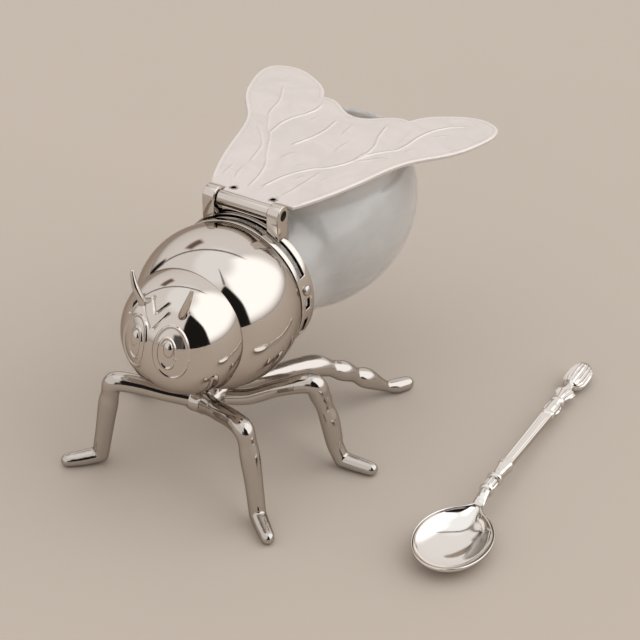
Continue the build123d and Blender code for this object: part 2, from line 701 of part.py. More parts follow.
with BuildPart() as spoon:
    add(bowl_form(0))
    for behind, height, half_width, half_thickness in SPOON_NECK:
        place = spoon_frame.from_local_coords((0, behind, height))
        with BuildSketch(Plane(place, x_dir=spoon_frame.x_dir, z_dir=spoon_frame.y_dir)):
            Ellipse(half_width, half_thickness)
    loft()
    for behind, half_width, half_thickness in SPOON_SHAFT:
        with BuildSketch(handle_plane(behind)):
            RectangleRounded(2 * half_width, 2 * half_thickness, SHAFT_EDGE_RADIUS)
    loft()
    for behind, length, near_half_width, far_half_width, half_thickness in MOULDINGS:
        with BuildSketch(handle_plane(behind)):
            Ellipse(near_half_width, half_thickness)
        with BuildSketch(handle_plane(behind + length)):
            Ellipse(far_half_width, half_thickness)
        loft()
    finial_place = spoon_frame.from_local_coords((0, FINIAL_MIDDLE, FINIAL_HALF_HEIGHT))
    add(egg(FINIAL_HALF_WIDTH, FINIAL_HALF_LENGTH, FINIAL_HALF_HEIGHT, finial_place))
    add(bowl_form(SPOON_WALL), mode=Mode.SUBTRACT)
save(spoon.part, "spoon")
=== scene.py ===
"""Bee honey pot with its spoon, dressed round its CAD frame.

Every length in the code is in millimetres and every mesh is written in metres. The bee faces -Y,
+X is its left side and the table is at Z = 0.
"""

import json
from math import ceil, cos, pi, radians, sin, sqrt

import bmesh
import bpy
import numpy as np
from bpy.props import FloatProperty, FloatVectorProperty, PointerProperty
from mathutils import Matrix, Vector
from mathutils.geometry import delaunay_2d_cdt


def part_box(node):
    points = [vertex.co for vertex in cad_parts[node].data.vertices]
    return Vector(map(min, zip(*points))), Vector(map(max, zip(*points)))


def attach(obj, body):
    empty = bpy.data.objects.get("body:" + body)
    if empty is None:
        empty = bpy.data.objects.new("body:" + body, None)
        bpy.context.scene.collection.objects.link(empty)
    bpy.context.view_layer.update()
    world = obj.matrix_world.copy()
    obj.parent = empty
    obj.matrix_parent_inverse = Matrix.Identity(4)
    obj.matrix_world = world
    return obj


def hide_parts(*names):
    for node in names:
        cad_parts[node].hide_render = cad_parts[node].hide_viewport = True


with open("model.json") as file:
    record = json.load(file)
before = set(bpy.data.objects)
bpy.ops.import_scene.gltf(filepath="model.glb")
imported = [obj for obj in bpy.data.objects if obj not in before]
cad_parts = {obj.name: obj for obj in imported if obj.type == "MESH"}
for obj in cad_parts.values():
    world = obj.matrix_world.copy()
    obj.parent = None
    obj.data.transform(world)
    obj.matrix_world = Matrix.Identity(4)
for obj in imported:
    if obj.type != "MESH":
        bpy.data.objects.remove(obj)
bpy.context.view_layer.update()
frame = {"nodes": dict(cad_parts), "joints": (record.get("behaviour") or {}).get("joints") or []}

bl_info = {
    "name": "Bee honey pot",
    "version": (1, 0, 0),
    "blender": (4, 5, 0),
    "location": "View3D > Sidebar > Bee pot",
    "description": "Dresses the bee honey pot and its spoon, piece by piece",
    "category": "Object",
}

MM = 0.001


def node_box(node):
    """Lowest and highest corner of a CAD node, in mm."""
    return [np.array(corner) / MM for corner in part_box(node)]


# Where the CAD puts things
THORAX_RADIUS = (node_box("thorax_shell")[1][0] - node_box("thorax_shell")[0][0]) / 2
THORAX_MIDDLE = np.array((0, 0, 61.9))
HEAD_RADIUS = 22.0
HEAD_MIDDLE = np.array((0, -20.3, 63.9))
COLLAR_SPAN = (12.0, 19.9)
COLLAR_RADIUS = 26.8
SLOT_SPAN = (14.2, 17.1)
HINGE = np.array(frame["joints"][0]["pos_m"]) / MM
LID_FALL = radians(3.4)
LID_RISE = 2.1
LID_THICKNESS = 1.2
LID_CLEARANCE = 0.3
LID_NORMAL = np.array((0, sin(LID_FALL), cos(LID_FALL)))
LID_ALONG = np.array((0, cos(LID_FALL), -sin(LID_FALL)))
BARREL_RADIUS = 2.5
BARREL_HALF_LENGTH = 10.25
POST_INSIDE, POST_OUTSIDE, POST_DEPTH = 10.6, 15.4, 7.2
PIN_RECESS = 14.4
BRACKET_LAP_RADIUS = 24.8
JAR_MIDDLE = np.array((0, 67.0, 65.3))
JAR_HALF = np.array((33.6, 46.3, 33.6))
MOUTH_HALF = np.array((27.2, 37.5))
NECK_RADIUS, NECK_LIP = 22.5, 1.4
NECK_START, NECK_RUN, NECK_WIDENS = 22.8, 22, 2.5
HUB_MIDDLE = np.array((0, -3.0, 27.0))
HUB_HALF_LENGTH = 10.5
HUB_RADIUS, HUB_END_RADIUS = 5.5, 3.4


def to_linear(code):
    """Linear colour of an sRGB hex value."""
    shares = [int(code[place : place + 2], 16) / 255 for place in (1, 3, 5)]
    return [s / 12.92 if s <= 0.04045 else ((s + 0.055) / 1.055) ** 2.4 for s in shares]


def length(name, description, millimetres, low, high):
    """A length that a user may change, in millimetres here and in metres in Blender."""
    return FloatProperty(
        name=name,
        description=description,
        default=millimetres * MM,
        min=low * MM,
        max=high * MM,
        unit="LENGTH",
        precision=5,
    )


def colour(name, description, code):
    """A colour that a user may change."""
    return FloatVectorProperty(
        name=name,
        description=description,
        default=to_linear(code),
        min=0,
        max=1,
        subtype="COLOR",
    )


class BeePotSizes(bpy.types.PropertyGroup):
    """Sizes of the details."""

    shell_wall: length("Shell wall", "Thickness of the head's and thorax's metal", 1.0, 0.5, 2)
    eye_line: length("Eye line", "Width of the raised lines round the eyes", 1.35, 0.5, 1.8)
    eye_relief: length("Eye relief", "Height of the raised lines round the eyes", 0.5, 0.1, 0.5)
    brow_depth: length("Brow depth", "Depth of the strokes cut in the forehead", 0.7, 0.1, 0.9)
    horn_root: length("Horn root radius", "Radius of an antenna at the forehead", 1.6, 1, 1.8)
    horn_tip: length("Horn tip radius", "Radius of an antenna at its tip", 0.6, 0.3, 0.7)
    collar_wall: length("Collar wall", "Thickness of the collar's metal", 1.4, 0.8, 1.4)
    edge_round: length("Edge rounding", "Rounding along cut metal edges", 0.25, 0.05, 0.5)
    post_round: length("Post rounding", "Rounding along the hinge posts' edges", 0.6, 0.1, 0.9)
    glass_wall: length("Glass wall", "Thickness of the jar's wall", 2.0, 1.5, 2.5)
    glass_fillet: length("Glass fillet", "Softness of the jar's shoulder and neck", 2.2, 1, 6)
    vein_width: length("Vein width", "Width of the veins on the wings", 1.4, 0.8, 2.5)
    vein_height: length("Vein height", "Height of the strongest veins", 0.4, 0.1, 0.6)
    rim_width: length("Rim width", "Width of the bead along the wings' edge", 1.5, 0.8, 3)
    leg_voxel: length("Leg fineness", "Size of the cells the legs are fused in", 0.35, 0.25, 0.8)
    spoon_wall: length("Spoon wall", "Thickness of the spoon's bowl", 0.9, 0.6, 1.2)


class BeePotColours(bpy.types.PropertyGroup):
    """Colours of the finishes."""

    plate: colour("Polished plate", "Bright plate of the bee's body, hinge and legs", "#D1CAC3")
    satin: colour("Satin plate", "Satin plate of the wing lid", "#E6DED9")
    steel: colour("Steel", "Screws, nuts and hinge pin", "#C4BFBB")
    spoon: colour("Spoon plate", "Bright plate of the spoon", "#E6E2DD")
    # Painted shade: the near-black colour on the insides of the shells and the collar, on the hinge pin
    # and in the rivets' hollows
    inside: colour("Bare inside", "Unplated metal inside the collar and the shells", "#2E2A27")
    glass: colour("Glass", "Clear glass of the jar", "#FCFBF9")
    table: colour("Table", "Plain pale table", "#C2B6AA")


# Ways to make a mesh


def unit(vector):
    """The vector at length one; also for an array of vectors."""
    vector = np.asarray(vector, float)
    return vector / np.linalg.norm(vector, axis=-1, keepdims=True)


def smooth_step(values, low, high):
    """0 below low, 1 above high and smooth between."""
    share = np.clip((np.asarray(values, float) - low) / (high - low), 0, 1)
    return share * share * (3 - 2 * share)


def circle(count):
    """Even turns round a circle."""
    return np.linspace(0, 2 * pi, count, endpoint=False)


def through(points, samples):
    """Smooth run through points, with so many samples between each two of them."""
    points = np.asarray(points, float)
    padded = np.vstack((2 * points[0] - points[1], points, 2 * points[-1] - points[-2]))
    run = []
    for a, b, c, d in zip(padded, padded[1:], padded[2:], padded[3:]):
        for t in np.arange(samples) / samples:
            run.append(
                0.5
                * (
                    2 * b
                    + (c - a) * t
                    + (2 * a - 5 * b + 4 * c - d) * t**2
                    + (3 * b - 3 * c + d - a) * t**3
                )
            )
    run.append(points[-1])
    return np.array(run)


def skin(rings, first_tip=None, last_tip=None, closed=False):
    """Points and faces over a run of rings of equal count. A tip closes an end in a fan."""
    rings = np.asarray(rings, float)
    count, sides = rings.shape[:2]
    points = list(rings.reshape(-1, 3))
    faces = []
    for ring in range(count if closed else count - 1):
        here, there = ring * sides, (ring + 1) % count * sides
        for side in range(sides):
            after = (side + 1) % sides
            faces.append((here + side, here + after, there + after, there + side))
    for tip, start in ((first_tip, 0), (last_tip, (count - 1) * sides)):
        if tip is not None:
            points.append(np.asarray(tip, float))
            last = len(points) - 1
            faces += [(start + side, start + (side + 1) % sides, last) for side in range(sides)]
    return points, faces


def joined(*shells):
    """Several shells as one mesh."""
    points, faces = [], []
    for shell_points, shell_faces in shells:
        faces += [tuple(index + len(points) for index in face) for face in shell_faces]
        points += list(shell_points)
    return points, faces


def tube(run, radii, sides):
    """Rings round a run of points, closed by rounded ends."""
    run, radii = np.asarray(run, float), np.asarray(radii, float)
    along = unit(np.gradient(run, axis=0))
    across = unit(np.cross(along[0], (0.3, 0.2, 1.0)))
    turns = circle(sides)
    rings = []
    for place, direction, radius in zip(run, along, radii):
        across = unit(across - direction * across.dot(direction))
        up = np.cross(direction, across)
        ring = np.outer(np.cos(turns), across) + np.outer(np.sin(turns), up)
        rings.append(place + radius * ring)
    caps = []
    for end, way in ((0, -1), (-1, 1)):
        out = way * along[end] * radii[end]
        leans = np.radians((30, 60, 80))
        caps.append([run[end] + (rings[end] - run[end]) * cos(t) + out * sin(t) for t in leans])
    tips = (run[0] - along[0] * radii[0], run[-1] + along[-1] * radii[-1])
    return skin(caps[0][::-1] + rings + caps[1], *tips)


def lathe(profile, place, axis, segments=48):
    """Turned shape from (radius, height) pairs; it starts and ends on the axis."""
    axis = unit(axis)
    side = unit(np.cross(axis, (0.31, 0.47, 0.83)))
    other = np.cross(axis, side)
    turns = circle(segments)
    round_axis = np.outer(np.cos(turns), side) + np.outer(np.sin(turns), other)
    place = np.asarray(place, float)
    rings = [place + axis * height + round_axis * radius for radius, height in profile[1:-1]]
    tips = [place + axis * profile[end][1] for end in (0, -1)]
    return skin(rings, *tips)


def new_mesh(name, points, faces):
    """Mesh in metres with its faces turned outwards."""
    mesh = bpy.data.meshes.new(name)
    mesh.from_pydata([tuple(point * MM) for point in np.asarray(points, float)], [], faces)
    edit = bmesh.new()
    edit.from_mesh(mesh)
    bmesh.ops.recalc_face_normals(edit, faces=edit.faces)
    edit.to_mesh(mesh)
    edit.free()
    return mesh


def new_piece(name, shape, body, material, stands_for=(), sharp=180, modifiers=()):
    """A named piece that rides on a body, with its modifiers made part of its mesh."""
    piece = bpy.data.objects.new(name, new_mesh(name, *shape))
    bpy.context.scene.collection.objects.link(piece)
    for kind, settings in modifiers:
        modifier = piece.modifiers.new(kind.title(), kind)
        for setting, value in settings.items():
            setattr(modifier, setting, value)
    if modifiers:
        worked = piece.evaluated_get(bpy.context.evaluated_depsgraph_get())
        mesh = bpy.data.meshes.new_from_object(worked)
        piece.modifiers.clear()
        piece.data = mesh
        mesh.name = name
    piece.data.shade_smooth()
    if sharp < 180:
        piece.data.set_sharp_from_angle(angle=radians(sharp))
    piece.data.materials.clear()
    piece.data.materials.append(material)
    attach(piece, body)
    if stands_for:
        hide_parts(*stands_for)
    return piece


def cutter(points, faces):
    """Modifier that cuts a closed form out of a piece, and the form, which is not kept."""
    tool = bpy.data.objects.new("cutter", new_mesh("cutter", points, faces))
    bpy.context.scene.collection.objects.link(tool)
    return ("BOOLEAN", {"object": tool, "operation": "DIFFERENCE", "solver": "EXACT"}), tool


def second_finish(piece, material, has_it):
    """Gives some of a piece's faces another material; has_it takes the faces' places in mm."""
    piece.data.materials.append(material)
    middles = np.array([tuple(polygon.center) for polygon in piece.data.polygons]) / MM
    for polygon, other in zip(piece.data.polygons, has_it(middles)):
        polygon.material_index = int(other)


def dress(nodes, material):
    """Gives CAD nodes that stay in view their material."""
    for node in nodes:
        piece = frame["nodes"][node]
        piece.data.materials.clear()
        piece.data.materials.append(material)


# Materials


def add_node(tree, kind, links=(), **settings):
    """Adds a node with its settings; links are (input, value or output socket) pairs."""
    node = tree.nodes.new(kind)
    for setting, value in settings.items():
        setattr(node, setting, value)
    for socket, value in links:
        if isinstance(value, bpy.types.NodeSocket):
            tree.links.new(value, node.inputs[socket])
        else:
            node.inputs[socket].default_value = value
    return node


def new_material(name, **sockets):
    """A material and its shader; sockets are named with underscores for spaces."""
    if name in bpy.data.materials:
        return bpy.data.materials[name], None
    material = bpy.data.materials.new(name)
    material.use_nodes = True
    shader = material.node_tree.nodes["Principled BSDF"]
    for socket, value in sockets.items():
        shader.inputs[socket.replace("_", " ")].default_value = value
    return material, shader


# Plate darkens and warms a little where it is seen edge on
EDGE_TINT = (0.60, 0.55, 0.51, 1)


def plated(name, plate_colour, roughness, wave, wave_height, line, line_height):
    """Plated metal: soft waves left by casting and buffing, and fine polishing lines.

    wave and line are spacings in mm, and their heights are in mm too.
    """
    material, shader = new_material(name, Metallic=1.0, Specular_Tint=EDGE_TINT)
    if shader is None:
        return material
    tree = material.node_tree
    shader.inputs["Base Color"].default_value = (*plate_colour, 1)
    place = add_node(tree, "ShaderNodeTexCoord").outputs["Object"]
    waves = add_node(
        tree, "ShaderNodeTexNoise", [("Vector", place), ("Scale", 1 / (wave * MM)), ("Detail", 1.0)]
    )
    lines = add_node(
        tree, "ShaderNodeTexNoise", [("Vector", place), ("Scale", 1 / (line * MM)), ("Detail", 3.0)]
    )
    rough = add_node(
        tree,
        "ShaderNodeMapRange",
        [("Value", lines.outputs["Fac"]), ("To Min", roughness[0]), ("To Max", roughness[1])],
    )
    tree.links.new(rough.outputs["Result"], shader.inputs["Roughness"])
    low = add_node(
        tree,
        "ShaderNodeBump",
        [("Height", waves.outputs["Fac"]), ("Distance", wave_height * MM), ("Strength", 1.0)],
    )
    high = add_node(
        tree,
        "ShaderNodeBump",
        [
            ("Height", lines.outputs["Fac"]),
            ("Distance", line_height * MM),
            ("Strength", 1.0),
            ("Normal", low.outputs["Normal"]),
        ],
    )
    tree.links.new(high.outputs["Normal"], shader.inputs["Normal"])
    return material


def polished_plate(colours):
    """Bright nickel plate on a zinc casting, buffed: a warm mirror with barely bent reflections."""
    return plated("polished_nickel_plate", colours.plate, (0.03, 0.07), 9.0, 0.02, 0.8, 0.0015)


def cast_plate_painted_darker(colours):
    """The same plate on rougher castings, its colour painted darker as shade: the reflections waver as on
    hand-finished legs.
    """
    # Painted shade: a darker copy of the plate's colour for the legs and the hub
    dull = [share * 0.84 for share in colours.plate]
    return plated("cast_nickel_plate_painted_darker", dull, (0.06, 0.12), 4.0, 0.06, 0.7, 0.003)


def satin_plate(colours):
    """Blasted plate: part of its colour is diffuse, so it stays pale from every side.

    The wings carry their relief as an attribute, 0 deep beside a vein and 1 on its crown; the colour
    follows it as painted shade in the hollows and painted highlight on the crowns of the veins and of the
    rim.
    """
    material, shader = new_material("satin_nickel_plate", Metallic=0.6, Roughness=0.4)
    if shader is None:
        return material
    tree = material.node_tree
    place = add_node(tree, "ShaderNodeTexCoord").outputs["Object"]
    cloud = add_node(
        tree,
        "ShaderNodeTexNoise",
        [("Vector", place), ("Scale", 1 / (11 * MM)), ("Detail", 4.0), ("Distortion", 1.2)],
    )
    grit = add_node(
        tree, "ShaderNodeTexNoise", [("Vector", place), ("Scale", 1 / (0.5 * MM)), ("Detail", 3.0)]
    )
    relief = add_node(tree, "ShaderNodeAttribute", attribute_name="relief")
    # Painted shade and painted highlight: the first colour darkens the hollows beside the veins and the
    # second brightens their crowns; the last two are the ends of the random mottling
    shaded_groove, crown, plain, shade = (
        [share * level for share in colours.satin] for level in (0.6, 1.12, 1.05, 0.84)
    )
    mottle = add_node(
        tree,
        "ShaderNodeMix",
        [("Factor", cloud.outputs["Fac"]), (6, (*shade, 1)), (7, (*plain, 1))],
        data_type="RGBA",
    )
    # Painted shade in the hollows beside the veins and the rim
    deep = add_node(
        tree,
        "ShaderNodeMapRange",
        [("Value", relief.outputs["Fac"]), ("From Min", 0.36), ("From Max", 0.0)],
    )
    painted_vein_shade = add_node(
        tree,
        "ShaderNodeMix",
        [("Factor", deep.outputs["Result"]), (6, mottle.outputs[2]), (7, (*shaded_groove, 1))],
        data_type="RGBA",
    )
    # Painted highlight on the crowns of the veins and of the rim's bead
    high = add_node(
        tree,
        "ShaderNodeMapRange",
        [("Value", relief.outputs["Fac"]), ("From Min", 0.55), ("From Max", 1.0)],
    )
    bright = add_node(
        tree,
        "ShaderNodeMix",
        [("Factor", high.outputs["Result"]), (6, painted_vein_shade.outputs[2]), (7, (*crown, 1))],
        data_type="RGBA",
    )
    tree.links.new(bright.outputs[2], shader.inputs["Base Color"])
    rough = add_node(
        tree,
        "ShaderNodeMapRange",
        [("Value", cloud.outputs["Fac"]), ("To Min", 0.30), ("To Max", 0.46)],
    )
    tree.links.new(rough.outputs["Result"], shader.inputs["Roughness"])
    waves = add_node(
        tree,
        "ShaderNodeBump",
        [("Height", cloud.outputs["Fac"]), ("Distance", 0.5 * MM), ("Strength", 1.0)],
    )
    fine = add_node(
        tree,
        "ShaderNodeBump",
        [
            ("Height", grit.outputs["Fac"]),
            ("Distance", 0.007 * MM),
            ("Strength", 1.0),
            ("Normal", waves.outputs["Normal"]),
        ],
    )
    tree.links.new(fine.outputs["Normal"], shader.inputs["Normal"])
    return material


def painted_shade_metal(colours):
    """Near-black metal painted in as shade inside the shells and the collar, on the hinge pin and in the
    rivets' hollows: rough, dark and a little blotched.
    """
    material, shader = new_material("painted_shade_dark_metal", Metallic=1.0, Roughness=0.5)
    if shader is None:
        return material
    tree = material.node_tree
    place = add_node(tree, "ShaderNodeTexCoord").outputs["Object"]
    blotch = add_node(
        tree, "ShaderNodeTexNoise", [("Vector", place), ("Scale", 1 / (3 * MM)), ("Detail", 3.0)]
    )
    darker, paler = [[share * level for share in colours.inside] for level in (0.6, 1.5)]
    tint = add_node(
        tree,
        "ShaderNodeMix",
        [("Factor", blotch.outputs["Fac"]), (6, (*darker, 1)), (7, (*paler, 1))],
        data_type="RGBA",
    )
    tree.links.new(tint.outputs[2], shader.inputs["Base Color"])
    return material


def turned_steel(colours):
    """Turned bright steel: a grey mirror with fine lines, duller than the plate round it."""
    return plated("turned_steel", colours.steel, (0.12, 0.22), 6.0, 0.01, 0.4, 0.004)


def spoon_plate(colours):
    """Silver plate on stamped steel: the brightest mirror here, with soft stamping waves."""
    return plated("silver_plated_steel", colours.spoon, (0.05, 0.10), 7.0, 0.02, 0.6, 0.002)


def pressed_glass(name, colours, clearness):
    """Fire-polished soda glass, taken as pressed: lazy waves bend what is behind it.

    clearness is 1 in the thin neck; the thick body scatters some light along faint cords.
    """
    material, shader = new_material(name, Roughness=0.03, IOR=1.52, Transmission_Weight=clearness)
    if shader is None:
        return material
    tree = material.node_tree
    place = add_node(tree, "ShaderNodeTexCoord").outputs["Object"]
    drawn = add_node(tree, "ShaderNodeMapping", [("Vector", place), ("Scale", (1, 0.3, 0.6))])
    cords = add_node(
        tree,
        "ShaderNodeTexNoise",
        [("Vector", drawn.outputs[0]), ("Scale", 1 / (5 * MM)), ("Detail", 4.0), ("Distortion", 0.6)],
    )
    thicker = [share * 0.8 for share in colours.glass]
    cloud = add_node(
        tree,
        "ShaderNodeMix",
        [("Factor", cords.outputs["Fac"]), (6, (*colours.glass, 1)), (7, (*thicker, 1))],
        data_type="RGBA",
    )
    tree.links.new(cloud.outputs[2], shader.inputs["Base Color"])
    waves = add_node(
        tree, "ShaderNodeTexNoise", [("Vector", place), ("Scale", 1 / (16 * MM)), ("Detail", 1.0)]
    )
    bump = add_node(
        tree,
        "ShaderNodeBump",
        [("Height", waves.outputs["Fac"]), ("Distance", 0.12 * MM), ("Strength", 1.0)],
    )
    tree.links.new(bump.outputs["Normal"], shader.inputs["Normal"])
    return material


def matt_table(colours):
    """Matt painted board: an even pale ground with a trace of mottling."""
    material, shader = new_material("matt_painted_board", Roughness=0.75)
    if shader is None:
        return material
    tree = material.node_tree
    place = add_node(tree, "ShaderNodeTexCoord").outputs["Object"]
    cloud = add_node(
        tree, "ShaderNodeTexNoise", [("Vector", place), ("Scale", 1 / (90 * MM)), ("Detail", 3.0)]
    )
    darker, paler = [[share * level for share in colours.table] for level in (0.985, 1.015)]
    mottle = add_node(
        tree,
        "ShaderNodeMix",
        [("Factor", cloud.outputs["Fac"]), (6, (*darker, 1)), (7, (*paler, 1))],
        data_type="RGBA",
    )
    tree.links.new(mottle.outputs[2], shader.inputs["Base Color"])
    return material


# Head and thorax

TOWARDS_HEAD = unit(HEAD_MIDDLE - THORAX_MIDDLE)
HEAD_DISTANCE = float(np.linalg.norm(HEAD_MIDDLE - THORAX_MIDDLE))
CREASE_DISTANCE = (HEAD_DISTANCE**2 + THORAX_RADIUS**2 - HEAD_RADIUS**2) / (2 * HEAD_DISTANCE)

# Strokes cut in the forehead, from end to end, as places on the head
BROW_STROKES = (
    ((-12.1, -34.8, 75.2), (-7.9, -33.2, 79.9)),
    ((-7.0, -33.6, 80.0), (-1.6, -39.0, 75.4)),
    ((-4.5, -31.6, 82.2), (-1.0, -36.0, 79.3)),
    ((2.3, -32.3, 82.2), (-0.2, -35.6, 79.7)),
    ((3.8, -34.6, 80.1), (0.2, -39.0, 75.4)),
)

# Ovals of the left eye: half width, half height, and their centre to the left and up the face
EYE_TURN, EYE_LIFT = radians(20.4), radians(12.0)
EYE_LINES = ((5.85, 9.15, 0, 0), (2.85, 5.45, -1.2, 0))
PUPIL = (1.7, 2.9, -0.7, 1.6)


def thorax_shape(wall):
    """Hollow ball between the crease and the collar."""
    turns = circle(300)
    rings = []
    for radius in (THORAX_RADIUS, THORAX_RADIUS - wall):
        level, rise = -TOWARDS_HEAD[1], TOWARDS_HEAD[2] * np.cos(turns)
        reach = CREASE_DISTANCE / (radius * np.hypot(level, rise))
        front = np.arctan2(rise, level) + np.arccos(reach)
        rear = np.full_like(turns, np.arccos(-COLLAR_SPAN[0] / radius))
        skins = []
        for share in np.linspace(0, 1, 110):
            lean = front + share * (rear - front)
            ring = np.stack(
                (np.sin(lean) * np.sin(turns), -np.cos(lean), np.sin(lean) * np.cos(turns)), 1
            )
            skins.append(THORAX_MIDDLE + radius * ring)
        rings += skins if not rings else skins[::-1]
    return skin(rings, closed=True)


def bump_profile(distance, width):
    """Rounded ridge profile: 1 at its middle and 0 from half the width out."""
    share = np.clip(np.abs(distance) / (width / 2), 0, 1)
    return 0.5 + 0.5 * np.cos(pi * share)


def segment_distance(points, start, end):
    """Distance of every point from the line between two places."""
    start, end = np.asarray(start, float), np.asarray(end, float)
    run = end - start
    share = np.clip(((points - start) @ run) / (run @ run), 0, 1)
    return np.linalg.norm(points - start - share[:, None] * run, axis=1)


def head_height(directions, sizes):
    """Height of the head's relief in each direction from its middle."""
    line, relief = sizes.eye_line / MM, sizes.eye_relief / MM
    height = np.zeros(len(directions))
    for side in (-1, 1):
        out = (side * sin(EYE_TURN) * cos(EYE_LIFT), -cos(EYE_TURN) * cos(EYE_LIFT), sin(EYE_LIFT))
        across = unit((-out[1], out[0], 0))
        up = np.cross(out, across)
        x, y = HEAD_RADIUS * (directions @ across), HEAD_RADIUS * (directions @ up)
        facing = directions @ out > 0
        for half_width, half_height, left, rise in EYE_LINES:
            u, v = (x - side * left) / half_width, (y - rise) / half_height
            far = np.hypot(u, v) + 1e-9
            slope = np.hypot(u / half_width, v / half_height) / far
            ridge = relief * bump_profile((far - 1) / slope, line)
            height = np.maximum(height, np.where(facing, ridge, 0))
        half_width, half_height, left, rise = PUPIL
        far = np.hypot((x - side * left) / half_width, (y - rise) / half_height)
        dome = 1.8 * relief * np.sqrt(1 - np.clip(far, 0, 1) ** 2)
        height = np.maximum(height, np.where(facing, dome, 0))
    places = HEAD_MIDDLE + HEAD_RADIUS * directions
    cut = np.zeros(len(directions))
    for start, end in BROW_STROKES:
        cut = np.maximum(cut, bump_profile(segment_distance(places, start, end), 1.3))
    return height - sizes.brow_depth / MM * cut


def head_shape(sizes):
    """Hollow ball in front of the crease with the eyes in relief and the brow cut in."""
    side = np.array((1.0, 0, 0))
    up = np.cross(TOWARDS_HEAD, side)
    turns = circle(372)
    round_axis = np.outer(np.cos(turns), side) + np.outer(np.sin(turns), up)
    rings = []
    for inset, count in ((0, 230), (sizes.shell_wall / MM, 24)):
        radius = HEAD_RADIUS - inset
        crease = np.arccos((CREASE_DISTANCE - HEAD_DISTANCE) / radius)
        skins = []
        for lean in np.linspace(crease / count, crease, count):
            directions = cos(lean) * TOWARDS_HEAD + sin(lean) * round_axis
            height = radius + (0 if inset else head_height(directions, sizes))
            skins.append(HEAD_MIDDLE + directions * np.reshape(height, (-1, 1)))
        rings += skins if not rings else skins[::-1]
    tip = head_height(TOWARDS_HEAD[None], sizes)[0]
    tips = [HEAD_MIDDLE + TOWARDS_HEAD * (HEAD_RADIUS + rise) for rise in (tip, -sizes.shell_wall / MM)]
    return skin(rings, *tips)


# Line of the left antenna from the middle of the head
HORN = (
    (7.0, -12.4, 13.8),
    (8.5, -13.0, 17.3),
    (10.0, -13.2, 20.8),
    (11.1, -12.9, 24.0),
    (11.8, -12.4, 26.6),
)


class BEEPOT_OT_thorax(bpy.types.Operator):
    """Pressed thorax, a hollow ball open at the crease and at the collar"""

    bl_idname = "bee_pot.thorax"
    bl_label = "Thorax"

    def execute(self, context):
        sizes, colours = context.scene.bee_pot_sizes, context.scene.bee_pot_colours
        shape = thorax_shape(sizes.shell_wall / MM)
        plate = polished_plate(colours)
        thorax = new_piece("thorax", shape, "bee", plate, ["thorax_shell"], 40)
        middle_of_wall = THORAX_RADIUS - sizes.shell_wall / MM / 2
        # Painted shade: the shell's inside faces get the near-black material
        second_finish(
            thorax,
            painted_shade_metal(colours),
            lambda places: np.linalg.norm(places - THORAX_MIDDLE, axis=1) < middle_of_wall,
        )
        return {"FINISHED"}


class BEEPOT_OT_head(bpy.types.Operator):
    """Pressed head with its eyes in relief and the strokes on its forehead"""

    bl_idname = "bee_pot.head"
    bl_label = "Head"

    def execute(self, context):
        sizes, colours = context.scene.bee_pot_sizes, context.scene.bee_pot_colours
        plate = polished_plate(colours)
        new_piece("head", head_shape(sizes), "bee", plate, ["head_shell"], 50)
        return {"FINISHED"}


class BEEPOT_OT_antennae(bpy.types.Operator):
    """Two curved horns whose roots run into the forehead"""

    bl_idname = "bee_pot.antennae"
    bl_label = "Antennae"

    def execute(self, context):
        sizes, colours = context.scene.bee_pot_sizes, context.scene.bee_pot_colours
        plate = polished_plate(colours)
        root, tip = sizes.horn_root / MM, sizes.horn_tip / MM
        for side, name in ((1, "left"), (-1, "right")):
            run = HEAD_MIDDLE + through(HORN, 14) * (side, 1, 1)
            radii = np.interp(np.linspace(0, 1, len(run)), (0, 0.5, 1), (root, 0.78 * root, tip))
            shape = tube(run, radii, 40)
            node = f"antenna_{name}"
            new_piece(f"antenna.{name}", shape, "bee", plate, [node])
        return {"FINISHED"}


# Collar and the screws in it

# Slots through the collar: start and end, in degrees from the top towards the left
COLLAR_SLOTS = ((-66, 66), (84, 93), (102, 118), (-93, -84), (-118, -102))
JAR_SCREW_ANGLES = (77.0, 180.0, 283.0)


def collar_shape():
    """Outside of the collar as cells round it, with the cells of the slots left out."""
    stations = set(np.arange(-180, 180, 2).tolist())
    for start, end in COLLAR_SLOTS:
        stations |= {start, end}
    stations = sorted(stations)
    levels = (COLLAR_SPAN[0], SLOT_SPAN[0], SLOT_SPAN[1], COLLAR_SPAN[1])
    points = [
        THORAX_MIDDLE + (COLLAR_RADIUS * sin(radians(a)), y, COLLAR_RADIUS * cos(radians(a)))
        for y in levels
        for a in stations
    ]
    sides, faces = len(stations), []
    for band in range(3):
        for side, angle in enumerate(stations):
            after = (side + 1) % sides
            middle = angle + 0.01
            if band == 1 and any(start < middle < end for start, end in COLLAR_SLOTS):
                continue
            here, there = band * sides, (band + 1) * sides
            faces.append((here + side, there + side, there + after, here + after))
    return points, faces


class BEEPOT_OT_collar(bpy.types.Operator):
    """Pierced ring behind the thorax that takes the jar's neck"""

    bl_idname = "bee_pot.collar"
    bl_label = "Collar"

    def execute(self, context):
        sizes, colours = context.scene.bee_pot_sizes, context.scene.bee_pot_colours
        modifiers = (
            ("SOLIDIFY", {"thickness": sizes.collar_wall, "offset": -1, "use_even_offset": True}),
            ("BEVEL", {"width": sizes.edge_round, "segments": 3, "angle_limit": radians(50)}),
        )
        plate = polished_plate(colours)
        shape = collar_shape()
        nodes = ["collar_ring"]
        collar = new_piece("collar", shape, "bee", plate, nodes, 30, modifiers)
        # Painted shade: the collar's inside faces get the near-black material, so its slots read dark
        second_finish(
            collar,
            painted_shade_metal(colours),
            lambda places: np.hypot(*(places - THORAX_MIDDLE).T[[0, 2]]) < COLLAR_RADIUS - 0.5,
        )
        return {"FINISHED"}


